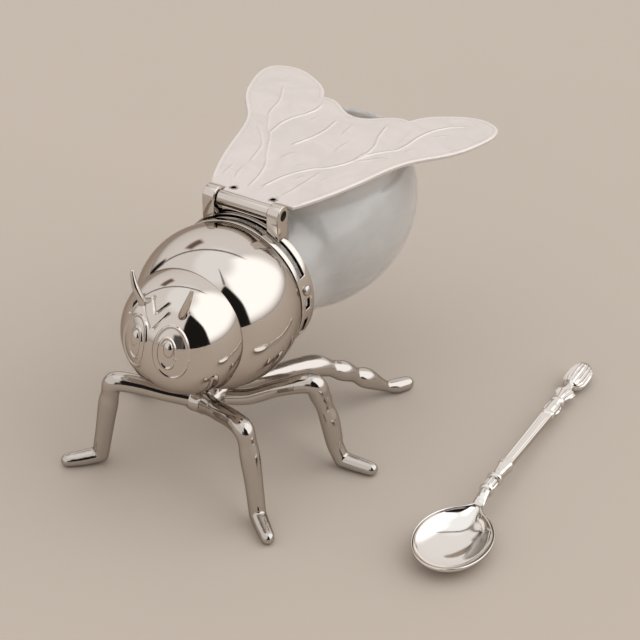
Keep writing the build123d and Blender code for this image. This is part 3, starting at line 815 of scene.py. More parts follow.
class BEEPOT_OT_screws(bpy.types.Operator):
    """Domed screws round the collar, the hinge pin, and the hub's screws and nuts"""

    bl_idname = "bee_pot.screws"
    bl_label = "Screws"

    def execute(self, context):
        colours = context.scene.bee_pot_colours
        steel = turned_steel(colours)
        heads = []
        for angle in JAR_SCREW_ANGLES:
            out = np.array((sin(radians(angle)), 0, cos(radians(angle))))
            place = THORAX_MIDDLE + (0, sum(SLOT_SPAN) / 2, 0) + out * COLLAR_RADIUS
            profile = [(0, -4.2), (1.1, -4.2), (1.1, -0.5), (1.98, -0.5), (2.0, 0.1), (1.95, 0.45)]
            profile += [(2.0 * cos(lean), 0.3 + 1.0 * sin(lean)) for lean in np.linspace(0.3, 1.4, 8)]
            heads.append(lathe([*profile, (0, 1.3)], place, out))
        new_piece("jar.screws", joined(*heads), "bee", steel, ["jar_screws"], 40)
        dress(("hub_screws", "hub_nuts"), steel)
        # Painted shade: the steel hinge pin gets the near-black material, standing for the shade in the
        # post's recess
        dress(("hinge_pin",), painted_shade_metal(colours))
        return {"FINISHED"}


# Jar

# Place inside the neck from which the whole of the jar's wall is seen
EYE_OF_JAR = np.array((0, 40.0, 63.0))
MOUTH_BEHIND = JAR_MIDDLE[1] - HINGE[1]
MOUTH_TAPER = 1.1
RIM_ROUND = 0.5


def soft_min(a, b, soft):
    """The lower of two distances, with the corner between them rounded."""
    share = np.clip(0.5 + 0.5 * (b - a) / soft, 0, 1)
    return b + (a - b) * share - soft * share * (1 - share)


def lid_drop(places):
    """Distance below the lid's top plane, and place across and behind the hinge."""
    behind = (places[..., 1] - HINGE[1]) * cos(LID_FALL) - (places[..., 2] - HINGE[2]) * sin(LID_FALL)
    above = (places[..., 1] - HINGE[1]) * sin(LID_FALL) + (places[..., 2] - HINGE[2]) * cos(LID_FALL)
    return LID_RISE - above, places[..., 0], behind


def lid_place(across, behind, above):
    """Places given across the lid, behind the hinge along it and above it."""
    y = HINGE[1] + behind * cos(LID_FALL) + above * sin(LID_FALL)
    z = HINGE[2] - behind * sin(LID_FALL) + above * cos(LID_FALL)
    return np.stack(np.broadcast_arrays(across, y, z), -1)


def jar_distance(places, inset, soft):
    """Distance outside the jar's form, or with an inset outside the form of its hollow."""
    body = (places - JAR_MIDDLE) / (JAR_HALF - inset)
    far = np.linalg.norm(body, axis=-1)
    slope = np.linalg.norm(body / (JAR_HALF - inset), axis=-1) + 1e-9
    egg = far * (far - 1) / slope
    y = places[..., 1]
    radial = np.hypot(places[..., 0], places[..., 2] - THORAX_MIDDLE[2])
    neck = NECK_RADIUS + np.clip(y - NECK_START, 0, 40) * NECK_WIDENS / NECK_RUN - inset
    if not inset:
        neck = neck + NECK_LIP * (1 - smooth_step(y, SLOT_SPAN[0], 17.5))
    neck = -soft_min(neck - radial, y - COLLAR_SPAN[0] - 0.8 - inset, 1.2)
    neck = np.maximum(neck, y - 60)
    form = soft_min(egg, neck, soft)
    drop, across, behind = lid_drop(places)
    mouth_drop = LID_THICKNESS + LID_CLEARANCE
    form = -soft_min(-form, drop - mouth_drop - 8.0 - inset * 0.4, 1.5)
    half = MOUTH_HALF - inset * MOUTH_TAPER
    behind = behind - MOUTH_BEHIND
    share = np.hypot(across / half[0], behind / half[1]) + 1e-9
    slope = np.hypot(across / half[0] ** 2, behind / half[1] ** 2) / share
    wall = (share - 1) / (slope + 1e-9)
    lip = np.maximum(wall, drop - mouth_drop - 14)
    return soft_min(form, lip, 1.6)


def jar_reach(directions, inset, soft):
    """How far the jar's surface lies from its inner eye in each direction."""
    low, high = np.zeros(len(directions)), np.full(len(directions), 130.0)
    for _ in range(34):
        middle = (low + high) / 2
        within = jar_distance(EYE_OF_JAR + directions * middle[:, None], inset, soft) < 0
        low, high = np.where(within, middle, low), np.where(within, high, middle)
    return low


def jar_shape(sizes):
    """Egg with a closed neck in front and a tall lip round its mouth."""
    turns = circle(240)
    down = np.array((0, 0, -1.0))
    wall = sizes.glass_wall / MM
    rings = []
    for inset in (0.0, wall):
        half = MOUTH_HALF - inset * MOUTH_TAPER
        across, behind = half[0] * np.cos(turns), half[1] * np.sin(turns) + JAR_MIDDLE[1] - HINGE[1]
        rim = lid_place(across, behind, LID_RISE - LID_THICKNESS - LID_CLEARANCE - RIM_ROUND)
        start = unit(rim - EYE_OF_JAR)
        sweep = np.arccos(np.clip(start @ down, -1, 1))
        skins = [rim]
        shares = np.concatenate((np.linspace(0, 0.2, 36)[1:], np.linspace(0.2, 0.985, 90)[1:]))
        for share in shares:
            lean = sweep * share
            toward = unit(down - start * (start @ down)[:, None])
            directions = start * np.cos(lean)[:, None] + toward * np.sin(lean)[:, None]
            reach = jar_reach(directions, inset, sizes.glass_fillet / MM)
            skins.append(EYE_OF_JAR + directions * reach[:, None])
        if inset:
            crown = []
            for share in np.linspace(0, 1, 7)[1:-1]:
                mid = outer[0] + (rim - outer[0]) * share
                crown.append(mid + LID_NORMAL * RIM_ROUND * sin(pi * share))
            rings = skins[::-1] + crown[::-1] + rings
        else:
            outer = skins
            rings = skins
    tips = []
    for inset in (wall, 0.0):
        reach = jar_reach(down[None], inset, sizes.glass_fillet / MM)[0]
        tips.append(EYE_OF_JAR + down * reach)
    return skin(rings, *tips)


class BEEPOT_OT_jar(bpy.types.Operator):
    """Clear glass jar that is the bee's abdomen"""

    bl_idname = "bee_pot.jar"
    bl_label = "Jar"

    def execute(self, context):
        sizes, colours = context.scene.bee_pot_sizes, context.scene.bee_pot_colours
        glass = pressed_glass("pressed_soda_glass", colours, 0.55)
        jar = new_piece("jar", jar_shape(sizes), "bee", glass, ["glass_jar"])
        neck = pressed_glass("pressed_soda_glass_neck", colours, 1.0)
        second_finish(jar, neck, lambda places: places[:, 1] < COLLAR_SPAN[1] + 1.5)
        return {"FINISHED"}


# Hinge


def saddle(stations, front, rear, top):
    """Prism along X whose foot sits on the collar; top gives its upper outline in Y and Z."""
    rings = []
    for x in stations:
        seat = THORAX_MIDDLE[2] + sqrt(COLLAR_RADIUS**2 - x * x)
        lap = THORAX_MIDDLE[2] + sqrt(BRACKET_LAP_RADIUS**2 - x * x)
        outline = [(rear, lap), (COLLAR_SPAN[1], lap), (COLLAR_SPAN[1], seat), (front, seat), *top]
        rings.append([(x, y, z) for y, z in outline])
    points, faces = skin(rings)
    sides = len(rings[0])
    faces += [tuple(range(sides)), tuple(range(len(points) - sides, len(points)))]
    return points, faces


class BEEPOT_OT_hinge(bpy.types.Operator):
    """Bracket with its two posts and web, and the leaf with its barrel"""

    bl_idname = "bee_pot.hinge"
    bl_label = "Hinge"

    def execute(self, context):
        sizes, colours = context.scene.bee_pot_sizes, context.scene.bee_pot_colours
        plate = polished_plate(colours)
        half = POST_DEPTH / 2
        turns = [pi * share / 24 for share in range(25)]
        arch = [(HINGE[1] - half * cos(t), HINGE[2] + half * sin(t)) for t in turns]
        shapes = []
        for side in (-1, 1):
            stations = side * np.linspace(POST_INSIDE, POST_OUTSIDE, 3)
            shapes.append(saddle(stations, HINGE[1] - half, HINGE[1] + half, arch))
        web_top = HINGE[2] - BARREL_RADIUS - 0.5
        web = ((HINGE[1] - half + 3.0, web_top), (HINGE[1] + half - 1.2, web_top))
        stations = np.linspace(-POST_INSIDE - 0.4, POST_INSIDE + 0.4, 31)
        shapes.append(saddle(stations, web[0][0], web[1][0], web))
        bevel = {"width": sizes.post_round, "segments": 4, "angle_limit": radians(40)}
        recess = [(0, PIN_RECESS), (1.9, PIN_RECESS), (1.9, 17), (0, 17)]
        cut, tool = cutter(*lathe(recess, HINGE, (1, 0, 0), 40))
        new_piece(
            "hinge.bracket",
            joined(*shapes),
            "bee",
            plate,
            ["hinge_bracket"],
            35,
            (("BEVEL", bevel), cut),
        )
        bpy.data.objects.remove(tool)
        ends = []
        for end in (-1, 1):
            for lean in np.linspace(0, pi / 2, 5):
                radius = BARREL_RADIUS - 0.3 + 0.3 * (sin(lean) if end < 0 else cos(lean))
                reach = BARREL_HALF_LENGTH - 0.3 + 0.3 * (cos(lean) if end < 0 else sin(lean))
                ends.append((radius, end * reach))
        profile = [(0, -BARREL_HALF_LENGTH), *ends, (0, BARREL_HALF_LENGTH)]
        barrel = lathe(profile, HINGE, (1, 0, 0), 72)
        rise, low = LID_RISE - LID_THICKNESS - 0.02, LID_RISE - LID_THICKNESS - 1.0
        outline = [(1.2, rise), (9.0, rise), (9.0, low), (1.2, low)]
        rings = [[lid_place(x, *corner) for corner in outline] for x in (-9.9, 9.9)]
        points, faces = skin(rings)
        flange = points, faces + [(0, 1, 2, 3), (4, 5, 6, 7)]
        shape = joined(barrel, flange)
        new_piece("hinge.leaf", shape, "lid", plate, ["hinge_leaf"], 35)
        return {"FINISHED"}


# Wing lid

# Veins: share of the full height, share of the full width and the places they run through,
# across the bee and behind the hinge
VEINS = (
    (
        1.0,
        1.05,
        ((0.8, 10), (1.6, 15), (3, 21), (5.5, 27), (8.5, 31.5), (12, 34.5), (14.5, 38), (16.5, 42))
        + ((18.2, 48), (20, 53), (23.5, 58), (26, 61), (27, 66), (27.6, 74), (29.5, 81), (33.5, 87.5))
        + ((39, 91.5),),
    ),
    (0.9, 1.0, ((17.3, 45), (17.6, 50), (18.2, 54), (17.5, 60), (15.5, 66), (14.5, 71), (13.8, 76))),
    (0.8, 1.0, ((18, 44.5), (21.5, 48.5), (24, 51.5), (27, 53))),
    (0.7, 0.9, ((9.4, 8.6), (10.5, 13), (11, 19), (11.5, 25), (12, 31))),
    (0.6, 0.9, ((7.2, 21), (8.2, 24), (9.2, 26))),
    (0.6, 0.9, ((15, 25), (16.5, 29))),
    (0.6, 0.9, ((3.5, 60), (3.2, 65), (3, 70))),
    (0.6, 0.9, ((8.5, 47), (8, 51), (8.6, 57))),
    (0.6, 0.9, ((29.3, 60.5), (29.8, 63.5), (30.9, 65.4))),
    (0.7, 0.9, ((32, 77), (34.5, 80), (37, 81.5))),
    (0.3, 1.0, ((24, 65), (23.4, 72), (23, 80))),
    (0.5, 0.9, ((2.0, 29.8), (3.0, 31.6), (4.2, 32.9))),
    (
        0.9,
        1.0,
        ((-3.6, 8), (-4.2, 14), (-5.5, 20), (-8, 27), (-11, 32), (-14, 38), (-18, 46), (-21, 49))
        + ((-25, 56), (-28, 62), (-30, 72), (-35, 83)),
    ),
    (0.8, 1.0, ((-13, 24), (-14.3, 30), (-16, 37), (-19, 42), (-22, 46), (-26, 50))),
    (1.0, 1.1, ((-18.6, 46), (-19.5, 55), (-18.5, 62), (-16, 68), (-14.8, 73), (-15, 78))),
    (1.0, 1.1, ((-7.5, 43), (-5.5, 49), (-4, 54), (-3.2, 60), (-3.6, 66), (-3.8, 70))),
    (0.6, 0.9, ((-5.5, 32), (-5, 36), (-3, 40))),
    (0.6, 0.9, ((-12, 64), (-11, 70))),
    (0.6, 0.9, ((-11, 11), (-12.5, 16), (-13, 20))),
    (0.6, 0.9, ((-16, 11), (-17, 20))),
    (0.5, 1.0, ((-1.5, 57.6), (-1.5, 58.4))),
    (0.6, 0.9, ((-28, 53), (-23, 51))),
)
# Way in which the veins stand against the hollow that runs beside them; the hollow lies on the side the
# veins' shade falls to, and is painted darker as shade
VEIN_SHADE = np.array((-0.8, 0.6))
RIVETS = ((-8.0, 5.2), (8.0, 5.2))
RIVET_HOLE = 1.5


def lid_outlines():
    """Outline and holes of the CAD lid's top face, as closed runs across and behind the hinge."""
    mesh = frame["nodes"]["wing_lid"].data
    places = np.array([vertex.co for vertex in mesh.vertices]) / MM
    keys = [tuple(np.round(place, 3)) for place in places]
    drop, across, behind = lid_drop(places)
    edges = {}
    for polygon in mesh.polygons:
        level = max(abs(drop[vertex]) for vertex in polygon.vertices) < 0.02
        if level and np.dot(polygon.normal, LID_NORMAL) > 0.99:
            corners = list(polygon.vertices)
            for start, end in zip(corners, corners[1:] + corners[:1]):
                pair = frozenset((keys[start], keys[end]))
                edges[pair] = None if pair in edges else (start, end)
    steps = {keys[start]: (keys[end], end) for start, end in filter(None, edges.values())}
    loops = []
    while steps:
        first = next(iter(steps))
        here, loop = first, []
        while here in steps:
            here, index = steps.pop(here)
            loop.append((across[index], behind[index]))
        loops.append(np.array(loop))
    loops.sort(key=lambda loop: -np.ptp(loop[:, 1]))
    return loops


def even_run(loop, step):
    """The closed run with its corners kept and even smooth steps between them."""
    before, after = np.roll(loop, 1, 0), np.roll(loop, -1, 0)
    ahead, back = unit(after - loop), unit(loop - before)
    turn = np.abs(ahead[:, 0] * back[:, 1] - ahead[:, 1] * back[:, 0])
    corners = [index for index in range(len(loop)) if turn[index] > 0.35] or [0]
    result = []
    for start, end in zip(corners, corners[1:] + [corners[0] + len(loop)]):
        run = np.array([loop[index % len(loop)] for index in range(start, end + 1)])
        if len(run) > 2:
            run = through(run, 6)
        lengths = np.concatenate(((0,), np.cumsum(np.linalg.norm(np.diff(run, axis=0), axis=1))))
        count = max(1, ceil(lengths[-1] / step))
        stops = np.linspace(0, lengths[-1], count + 1)[:-1]
        result += list(zip(*(np.interp(stops, lengths, run[:, axis]) for axis in (0, 1))))
    return np.array(result)


def nearest(points, run):
    """Distance of each point from a run of places, and how far along the run that is."""
    steps = np.diff(run, axis=0)
    spans = np.linalg.norm(steps, axis=1)
    starts = np.concatenate(((0,), np.cumsum(spans)))
    best, along = np.full(len(points), 1e9), np.zeros(len(points))
    for start, step, span, done in zip(run, steps, spans, starts):
        share = np.clip((points - start) @ step / span**2, 0, 1)
        far = np.linalg.norm(points - start - share[:, None] * step, axis=1)
        closer = far < best
        best[closer], along[closer] = far[closer], (done + share * span)[closer]
    return best, along, starts[-1]


def inside(points, loop):
    """Whether each point lies within a closed run."""
    x, y = points[:, 0], points[:, 1]
    crossed = np.zeros(len(points), bool)
    for (x1, y1), (x2, y2) in zip(loop, np.roll(loop, -1, 0)):
        if y1 != y2:
            spans = (y1 > y) != (y2 > y)
            crossed ^= spans & (x < (x2 - x1) * (y - y1) / (y2 - y1) + x1)
    return crossed


def vein_runs():
    """Smooth run of each vein, with its strength and breadth."""
    return [(strength, breadth, through(places, 8)) for strength, breadth, places in VEINS]


def wing_relief(points, edge_distance, sizes):
    """Height of the wings' top over the plate's plane, and a colour level from 0 to 1 that paints shade in
    the hollows beside the veins and the rim, and highlight on their crowns.
    """
    width, height = sizes.vein_width / MM, sizes.vein_height / MM
    rise, level = np.zeros(len(points)), np.full(len(points), 0.4)
    for strength, breadth, run in vein_runs():
        far, along, whole = nearest(points, run)
        taper = smooth_step(along, -1.4, 2.4) * smooth_step(whole - along, -1.4, 2.4)
        taper = strength * taper * smooth_step(edge_distance, 0.6, 2.0)
        ridge = taper * bump_profile(far, width * breadth)
        beside, _, _ = nearest(points - VEIN_SHADE * 0.72 * width * breadth, run)
        shaded_groove = taper * bump_profile(beside, 1.0) * (ridge < 0.5)
        # level is painted light: lower for painted shade in the hollow beside a vein, higher for painted
        # highlight on its crown
        rise = np.where(ridge > 0.02, np.maximum(rise, height * ridge), rise - 0.3 * height * shaded_groove)
        level = np.where(ridge > 0.3, np.maximum(level, 0.4 + 0.6 * ridge), level - 0.4 * shaded_groove)
    away = smooth_step(points[:, 1], 6.0, 9.0)
    bead = away * bump_profile(edge_distance - 0.75, sizes.rim_width / MM)
    shaded_groove = away * bump_profile(edge_distance - 1.8, 1.0)
    rise = np.maximum(rise, 0.45 * height * bead - (bead < 0.02)) - 0.15 * height * shaded_groove
    # Painted highlight on the rim's bead, and painted shade in the hollow inside it
    level = np.maximum(level, 0.4 + 0.5 * bead - (bead < 0.02)) - 0.16 * shaded_groove
    waves = 0.10 * np.sin(points[:, 0] / 5.3 + 1.1 * np.sin(points[:, 1] / 7.7))
    waves += 0.08 * np.sin(points[:, 1] / 6.1 + 0.9 * np.sin(points[:, 0] / 8.9))
    rise = rise + waves * smooth_step(edge_distance, 3.0, 8.0)
    rounding = np.clip(edge_distance / 0.45, 0, 1)
    return rise - 0.4 * (1 - np.sqrt(1 - (1 - rounding) ** 2)), np.clip(level, 0, 1)


def vein_points(outline):
    """Rows of points along the veins, with none of a vein's near one that comes before it."""
    kept, before = [], []
    for _, _, run in vein_runs():
        ahead = unit(np.gradient(run, axis=0))
        across = np.stack((-ahead[:, 1], ahead[:, 0]), 1)
        spans = np.concatenate(((0,), np.cumsum(np.linalg.norm(np.diff(run, axis=0), axis=1))))
        stops = np.linspace(0, spans[-1], max(3, round(spans[-1] / 0.55)))
        for offset in (-1.5, -1.1, -0.72, -0.36, 0, 0.36, 0.72, 1.1, 1.5):
            row = run + across * offset
            row = np.stack([np.interp(stops, spans, row[:, axis]) for axis in (0, 1)], 1)
            clear = inside(row, outline)
            for other in before:
                clear &= nearest(row, other)[0] > 1.6
            kept.append(row[clear])
        before.append(run)
    return np.vstack(kept)


def wing_shape(sizes):
    """Plate in the wings' outline, veined on top and flat below."""
    outline, *holes = lid_outlines()
    outline = even_run(outline, 0.55)
    holes = [even_run(hole, 0.35) for hole in holes]
    loops = [outline, *holes]
    closed = np.vstack((outline, outline[:1]))
    low, high = outline.min(0), outline.max(0)
    inner = []
    normals = unit(np.roll(outline, -1, 0) - np.roll(outline, 1, 0))[:, ::-1] * (-1, 1)
    trial = outline + normals * 0.3
    if inside(trial, outline).mean() < 0.5:
        normals = -normals
    for inset in (0.1, 0.24, 0.42, 0.8, 1.25):
        moved = outline + normals * inset
        far, _, _ = nearest(moved, closed)
        inner.append(moved[(far > 0.96 * inset) & inside(moved, outline)])
    step = 0.58
    rows = np.arange(low[1], high[1], step * sqrt(3) / 2)
    grid = [
        (x + (index % 2) * step / 2, y)
        for index, y in enumerate(rows)
        for x in np.arange(low[0], high[0], step)
    ]
    grid = np.array(grid)
    grid = grid[inside(grid, outline)]
    far, _, _ = nearest(grid, closed)
    grid = grid[far > 1.6]
    veins = vein_points(outline)
    veins = veins[nearest(veins, closed)[0] > 1.6]
    for _, _, run in vein_runs():
        grid = grid[nearest(grid, run)[0] > 1.8]
    inner += [veins, grid]
    field = np.vstack(inner)
    for middle in RIVETS:
        field = field[np.hypot(*(field - middle).T) > RIVET_HOLE + 0.25]
    points = np.vstack((*loops, field))
    edges, start = [], 0
    for loop in loops:
        edges += [(start + i, start + (i + 1) % len(loop)) for i in range(len(loop))]
        start += len(loop)
    flat, _, faces, _, _, _ = delaunay_2d_cdt([Vector(p) for p in points], edges, [], 1, 1e-5)
    flat = np.array([tuple(place) for place in flat])
    middles = np.array([flat[list(face)].mean(0) for face in faces])
    keep = inside(middles, outline)
    for middle in RIVETS:
        keep &= np.hypot(*(middles - middle).T) > RIVET_HOLE - 0.2
    faces = [tuple(face) for face, kept in zip(faces, keep) if kept]
    far, _, _ = nearest(flat, closed)
    for middle in RIVETS:
        far = np.minimum(far, np.hypot(*(flat - middle).T) - RIVET_HOLE)
    far = np.maximum(far, 0)
    rise, level = wing_relief(flat, far, sizes)
    plane = HINGE + LID_NORMAL * LID_RISE
    base = plane + np.outer(flat[:, 0], (1, 0, 0)) + np.outer(flat[:, 1], LID_ALONG)
    top = base + rise[:, None] * LID_NORMAL
    bottom = base - LID_THICKNESS * LID_NORMAL
    count = len(flat)
    sides = {}
    for face in faces:
        for pair in zip(face, face[1:] + face[:1]):
            sides[frozenset(pair)] = None if frozenset(pair) in sides else pair
    walls = [(b, a, a + count, b + count) for a, b in filter(None, sides.values())]
    under = [tuple(index + count for index in reversed(face)) for face in faces]
    return (np.vstack((top, bottom)), faces + walls + under), np.concatenate((level, level * 0 + 0.4))


def in_rivet_hole(places):
    """Whether each place lies in the hollow of a rivet; these faces are painted near-black as shade."""
    drop, across, behind = lid_drop(places)
    far = np.min([np.hypot(across - x, behind - y) for x, y in RIVETS], axis=0)
    return (far < 0.9) & (drop > 0.15) & (drop < 1.3) & (far < 0.84 + 0.1 * (drop < 0.4))


class BEEPOT_OT_wing_lid(bpy.types.Operator):
    """The two wings, one veined plate, and the rivets that hold them to the leaf"""

    bl_idname = "bee_pot.wing_lid"
    bl_label = "Wing lid"

    def execute(self, context):
        sizes, colours = context.scene.bee_pot_sizes, context.scene.bee_pot_colours
        satin = satin_plate(colours)
        shape, level = wing_shape(sizes)
        wings = new_piece("wings", shape, "lid", satin, ["wing_lid"], 50)
        # The relief attribute carries the level of painted shade and painted highlight
        wings.data.attributes.new("relief", "FLOAT", "POINT").data.foreach_set("value", level)
        steel = turned_steel(colours)
        heads = []
        for across, behind in RIVETS:
            place = HINGE + LID_NORMAL * LID_RISE + LID_ALONG * behind + (across, 0, 0)
            profile = [(0, -2.0), (0.88, -2.0), (0.88, -0.7), (1.45, -0.2), (1.42, -0.06)]
            profile += [(1.25, -0.06), (0.95, -0.2), (0.8, -0.45), (0.8, -1.1), (0, -1.2)]
            heads.append(lathe(profile, place, LID_NORMAL, 40))
        shape = joined(*heads)
        rivets = new_piece("lid.rivets", shape, "lid", steel, ["lid_rivets"], 40)
        # Painted shade: the rivets' hollows get the near-black material
        second_finish(rivets, painted_shade_metal(colours), in_rivet_hole)
        return {"FINISHED"}


# Hub and legs

# Strokes of the left legs, as sections with the place of their centre and their radius; each
# stroke starts where the one before it ends
LEGS = {
    "front": (
        (
            (3.0, -13.0, 29.2, 3.2),
            (11.0, -18.6, 32.5, 3.2),
            (19.3, -23.0, 35.3, 3.3),
            (26.4, -26.9, 36.3, 3.5),
            (28.3, -27.2, 31.2, 3.15),
            (29.3, -27.5, 26.4, 3.45),
            (31.1, -28.1, 15.5, 3.1),
            (33.0, -29.1, 3.4, 2.9),
        ),
        ((37.6, -33.2, 2.6, 2.75), (41.8, -36.9, 2.3, 2.4)),
    ),
    "middle": (
        (
            (3.0, -3.6, 26.4, 3.0),
            (12.0, -0.2, 27.6, 2.9),
            (22.0, 3.8, 32.4, 2.9),
            (32.0, 8.8, 34.9, 3.7),
            (34.6, 10.6, 29.3, 3.6),
            (36.2, 11.1, 24.6, 3.0),
            (37.7, 11.6, 19.8, 3.4),
            (39.0, 12.0, 13.0, 3.2),
            (39.8, 12.2, 8.7, 2.9),
            (42.3, 12.6, 3.0, 2.8),
        ),
        ((48.4, 13.2, 2.55, 2.7), (53.6, 13.7, 2.3, 2.4)),
    ),
    "rear": (
        (
            (3.2, 7.0, 26.0, 3.0),
            (9.0, 16.4, 25.0, 3.1),
            (15.2, 26.2, 24.4, 3.6),
            (19.4, 32.8, 23.0, 4.0),
            (22.8, 38.4, 19.6, 2.9),
        ),
        ((25.4, 42.4, 17.0, 3.7), (28.0, 46.6, 13.5, 2.6)),
        ((30.4, 50.3, 10.7, 3.7), (33.4, 55.0, 6.3, 2.5), (35.0, 57.8, 3.8, 1.8)),
        ((37.6, 61.8, 2.6, 2.7), (39.8, 65.4, 2.3, 2.5)),
    ),
}

# What the smoothing takes off a leg's radius
SMOOTHED_OFF = 0.12


def fused(sizes):
    """Modifiers that melt a casting's overlapping rods into one soft skin."""
    return (
        ("REMESH", {"mode": "VOXEL", "voxel_size": sizes.leg_voxel, "use_smooth_shade": True}),
        ("SMOOTH", {"factor": 0.5, "iterations": 10}),
    )


def leg_shape(strokes):
    """A leg's strokes as overlapping rounded rods, with a ball at each joint."""
    rods, joint = [], ()
    for sections in strokes:
        run = through(joint + sections, 12)
        rods.append(tube(run[:, :3], run[:, 3] + SMOOTHED_OFF, 28))
        joint = sections[-1:]
    return joined(*rods)


class BEEPOT_OT_legs(bpy.types.Operator):
    """Six cast legs with rounded knees and flat soles"""

    bl_idname = "bee_pot.legs"
    bl_label = "Legs"

    def execute(self, context):
        sizes, colours = context.scene.bee_pot_sizes, context.scene.bee_pot_colours
        plate = cast_plate_painted_darker(colours)
        modifiers = fused(sizes)
        for row, strokes in LEGS.items():
            for side, name in ((1, "left"), (-1, "right")):
                points, faces = leg_shape(strokes)
                points = np.array(points) * (side, 1, 1)
                piece = new_piece(
                    f"leg.{row}.{name}",
                    (points, faces),
                    "bee",
                    plate,
                    [f"leg_{row}_{name}"],
                    180,
                    modifiers,
                )
                for vertex in piece.data.vertices:
                    vertex.co.z = max(vertex.co.z, 0)
        return {"FINISHED"}


# Sleeve across the hub's front, from the right thigh into the left one
HUB_SLEEVE = ((-2.2, -13.4, 29.0), (2.6, -13.8, 29.2), (8.6, -17.2, 31.6))


class BEEPOT_OT_hub(bpy.types.Operator):
    """Spindle under the thorax that carries the legs"""

    bl_idname = "bee_pot.hub"
    bl_label = "Hub"

    def execute(self, context):
        sizes, colours = context.scene.bee_pot_sizes, context.scene.bee_pot_colours
        reach = np.linspace(-HUB_HALF_LENGTH, HUB_HALF_LENGTH, 41)
        swell = HUB_RADIUS - HUB_END_RADIUS
        bulge = (HUB_HALF_LENGTH**2 + swell**2) / (2 * swell)
        radii = [HUB_RADIUS - bulge + sqrt(bulge**2 - place * place) for place in reach]
        profile = [(0, reach[0]), *zip(radii, reach), (0, reach[-1])]
        shapes = [lathe(profile, HUB_MIDDLE, (0, 1, 0), 56)]
        shapes.append(tube(through(HUB_SLEEVE, 8), np.linspace(3.95, 3.3, 17), 40))
        tools = []
        for place in (-5.5, 5.5):
            top = sqrt((THORAX_RADIUS - 0.4) ** 2 - (HUB_MIDDLE[1] + place) ** 2)
            rise = THORAX_MIDDLE[2] - top - HUB_MIDDLE[2] + 1.2
            foot = HUB_MIDDLE + (0, place, 0)
            post = [(0, 0), (3.4, 0.1), (3.4, rise), (0, rise)]
            shapes.append(lathe(post, foot, (0, 0, 1), 40))
            tools.append(cutter(*lathe([(0, -9), (2.8, -9), (2.8, -3.3), (0, -3.3)], foot, (0, 0, 1), 48)))
        modifiers = (*fused(sizes), *[cut for cut, _ in tools])
        plate = cast_plate_painted_darker(colours)
        shape = joined(*shapes)
        new_piece("leg.hub", shape, "bee", plate, ["leg_hub"], 40, modifiers)
        for _, tool in tools:
            bpy.data.objects.remove(tool)
        return {"FINISHED"}


# Spoon

SPOON_TURN = radians(2.4)
SPOON_PLACE = np.array((98.4, -9.3, 0))
SPOON_ACROSS = np.array((cos(SPOON_TURN), sin(SPOON_TURN), 0))
SPOON_ALONG = np.array((-sin(SPOON_TURN), cos(SPOON_TURN), 0))
HANDLE_START, HANDLE_HEIGHT = 28.0, 8.2
BUD_MIDDLE, BUD_HEIGHT = 109.4, 3.4
HANDLE_FALL = (HANDLE_HEIGHT - BUD_HEIGHT) / (BUD_MIDDLE - HANDLE_START)
# Behind the middle of the bowl, and height over the table, where the handle leaves the bowl
NECK_RISE = ((19.8, 20.6, 22.2, HANDLE_START), (6.1, 6.45, 7.0, HANDLE_HEIGHT))

# Handle sections: distance behind the middle of the bowl, half width, half thickness, how
# square the section is (2 is an ellipse) and how deep its lengthwise flutes are
HANDLE = (
    (19.8, 1.8, 0.36, 2.0, 0),
    (20.6, 2.1, 0.8, 2.0, 0),
    (22.2, 2.05, 1.3, 2.3, 0),
    (24.4, 1.9, 1.55, 2.6, 0),
    (25.9, 1.85, 1.6, 2.8, 0),
    (26.1, 2.4, 2.3, 2.2, 0),
    (26.4, 2.6, 2.5, 2.2, 0),
    (27.2, 2.6, 2.5, 2.2, 0),
    (27.4, 2.3, 2.2, 2.2, 0),
    (27.7, 1.9, 1.9, 2.0, 0.12),
    (29.2, 2.1, 2.1, 2.0, 0.16),
    (31.6, 2.1, 2.1, 2.0, 0.16),
    (32.9, 1.9, 1.9, 2.0, 0.12),
    (33.1, 2.5, 2.4, 2.2, 0),
    (33.4, 2.8, 2.6, 2.2, 0),
    (34.2, 2.8, 2.6, 2.2, 0),
    (34.5, 2.0, 2.0, 2.2, 0),
    (36.0, 1.75, 1.8, 2.4, 0),
    (39.5, 2.1, 2.0, 2.8, 0),
    (42.4, 2.4, 2.1, 3.2, 0),
    (42.7, 2.7, 2.2, 3.4, 0),
    (43.4, 2.7, 2.2, 3.4, 0),
    (43.6, 1.9, 1.5, 5.0, 0),
    (46.0, 1.75, 1.35, 7.0, 0),
    (62.0, 1.9, 1.3, 7.0, 0),
    (79.4, 2.1, 1.4, 7.0, 0),
    (79.8, 2.5, 1.8, 3.4, 0),
    (80.8, 2.8, 1.9, 2.6, 0),
    (81.2, 2.5, 2.1, 2.2, 0.04),
    (82.4, 2.9, 2.4, 2.0, 0.12),
    (84.2, 3.1, 2.4, 2.0, 0.14),
    (86.4, 2.8, 2.3, 2.0, 0.14),
    (88.6, 2.35, 2.2, 2.0, 0.08),
    (89.1, 2.3, 2.1, 2.0, 0),
    (89.4, 2.6, 2.2, 2.2, 0),
    (90.3, 2.6, 2.2, 2.2, 0),
    (90.6, 1.9, 1.8, 2.0, 0.04),
    (92.4, 2.0, 1.9, 2.0, 0.14),
    (95.0, 2.8, 2.0, 2.0, 0.22),
    (97.2, 3.9, 2.0, 2.0, 0.26),
    (97.8, 4.0, 1.9, 2.0, 0.22),
    (98.2, 2.7, 1.8, 2.0, 0.08),
    (99.6, 1.9, 1.7, 2.0, 0),
    (101.6, 1.7, 1.65, 2.0, 0),
    (102.0, 2.5, 2.2, 2.0, 0.02),
    (103.2, 3.6, 2.8, 2.0, 0.06),
    (105.4, 4.4, 3.2, 2.0, 0.10),
    (108.4, 4.5, 3.4, 2.0, 0.12),
    (111.6, 4.4, 3.4, 2.0, 0.12),
    (114.2, 3.9, 3.1, 2.0, 0.10),
    (116.2, 2.9, 2.4, 2.0, 0.07),
    (117.2, 1.6, 1.4, 2.0, 0.03),
    (117.5, 0.5, 0.5, 2.0, 0),
)


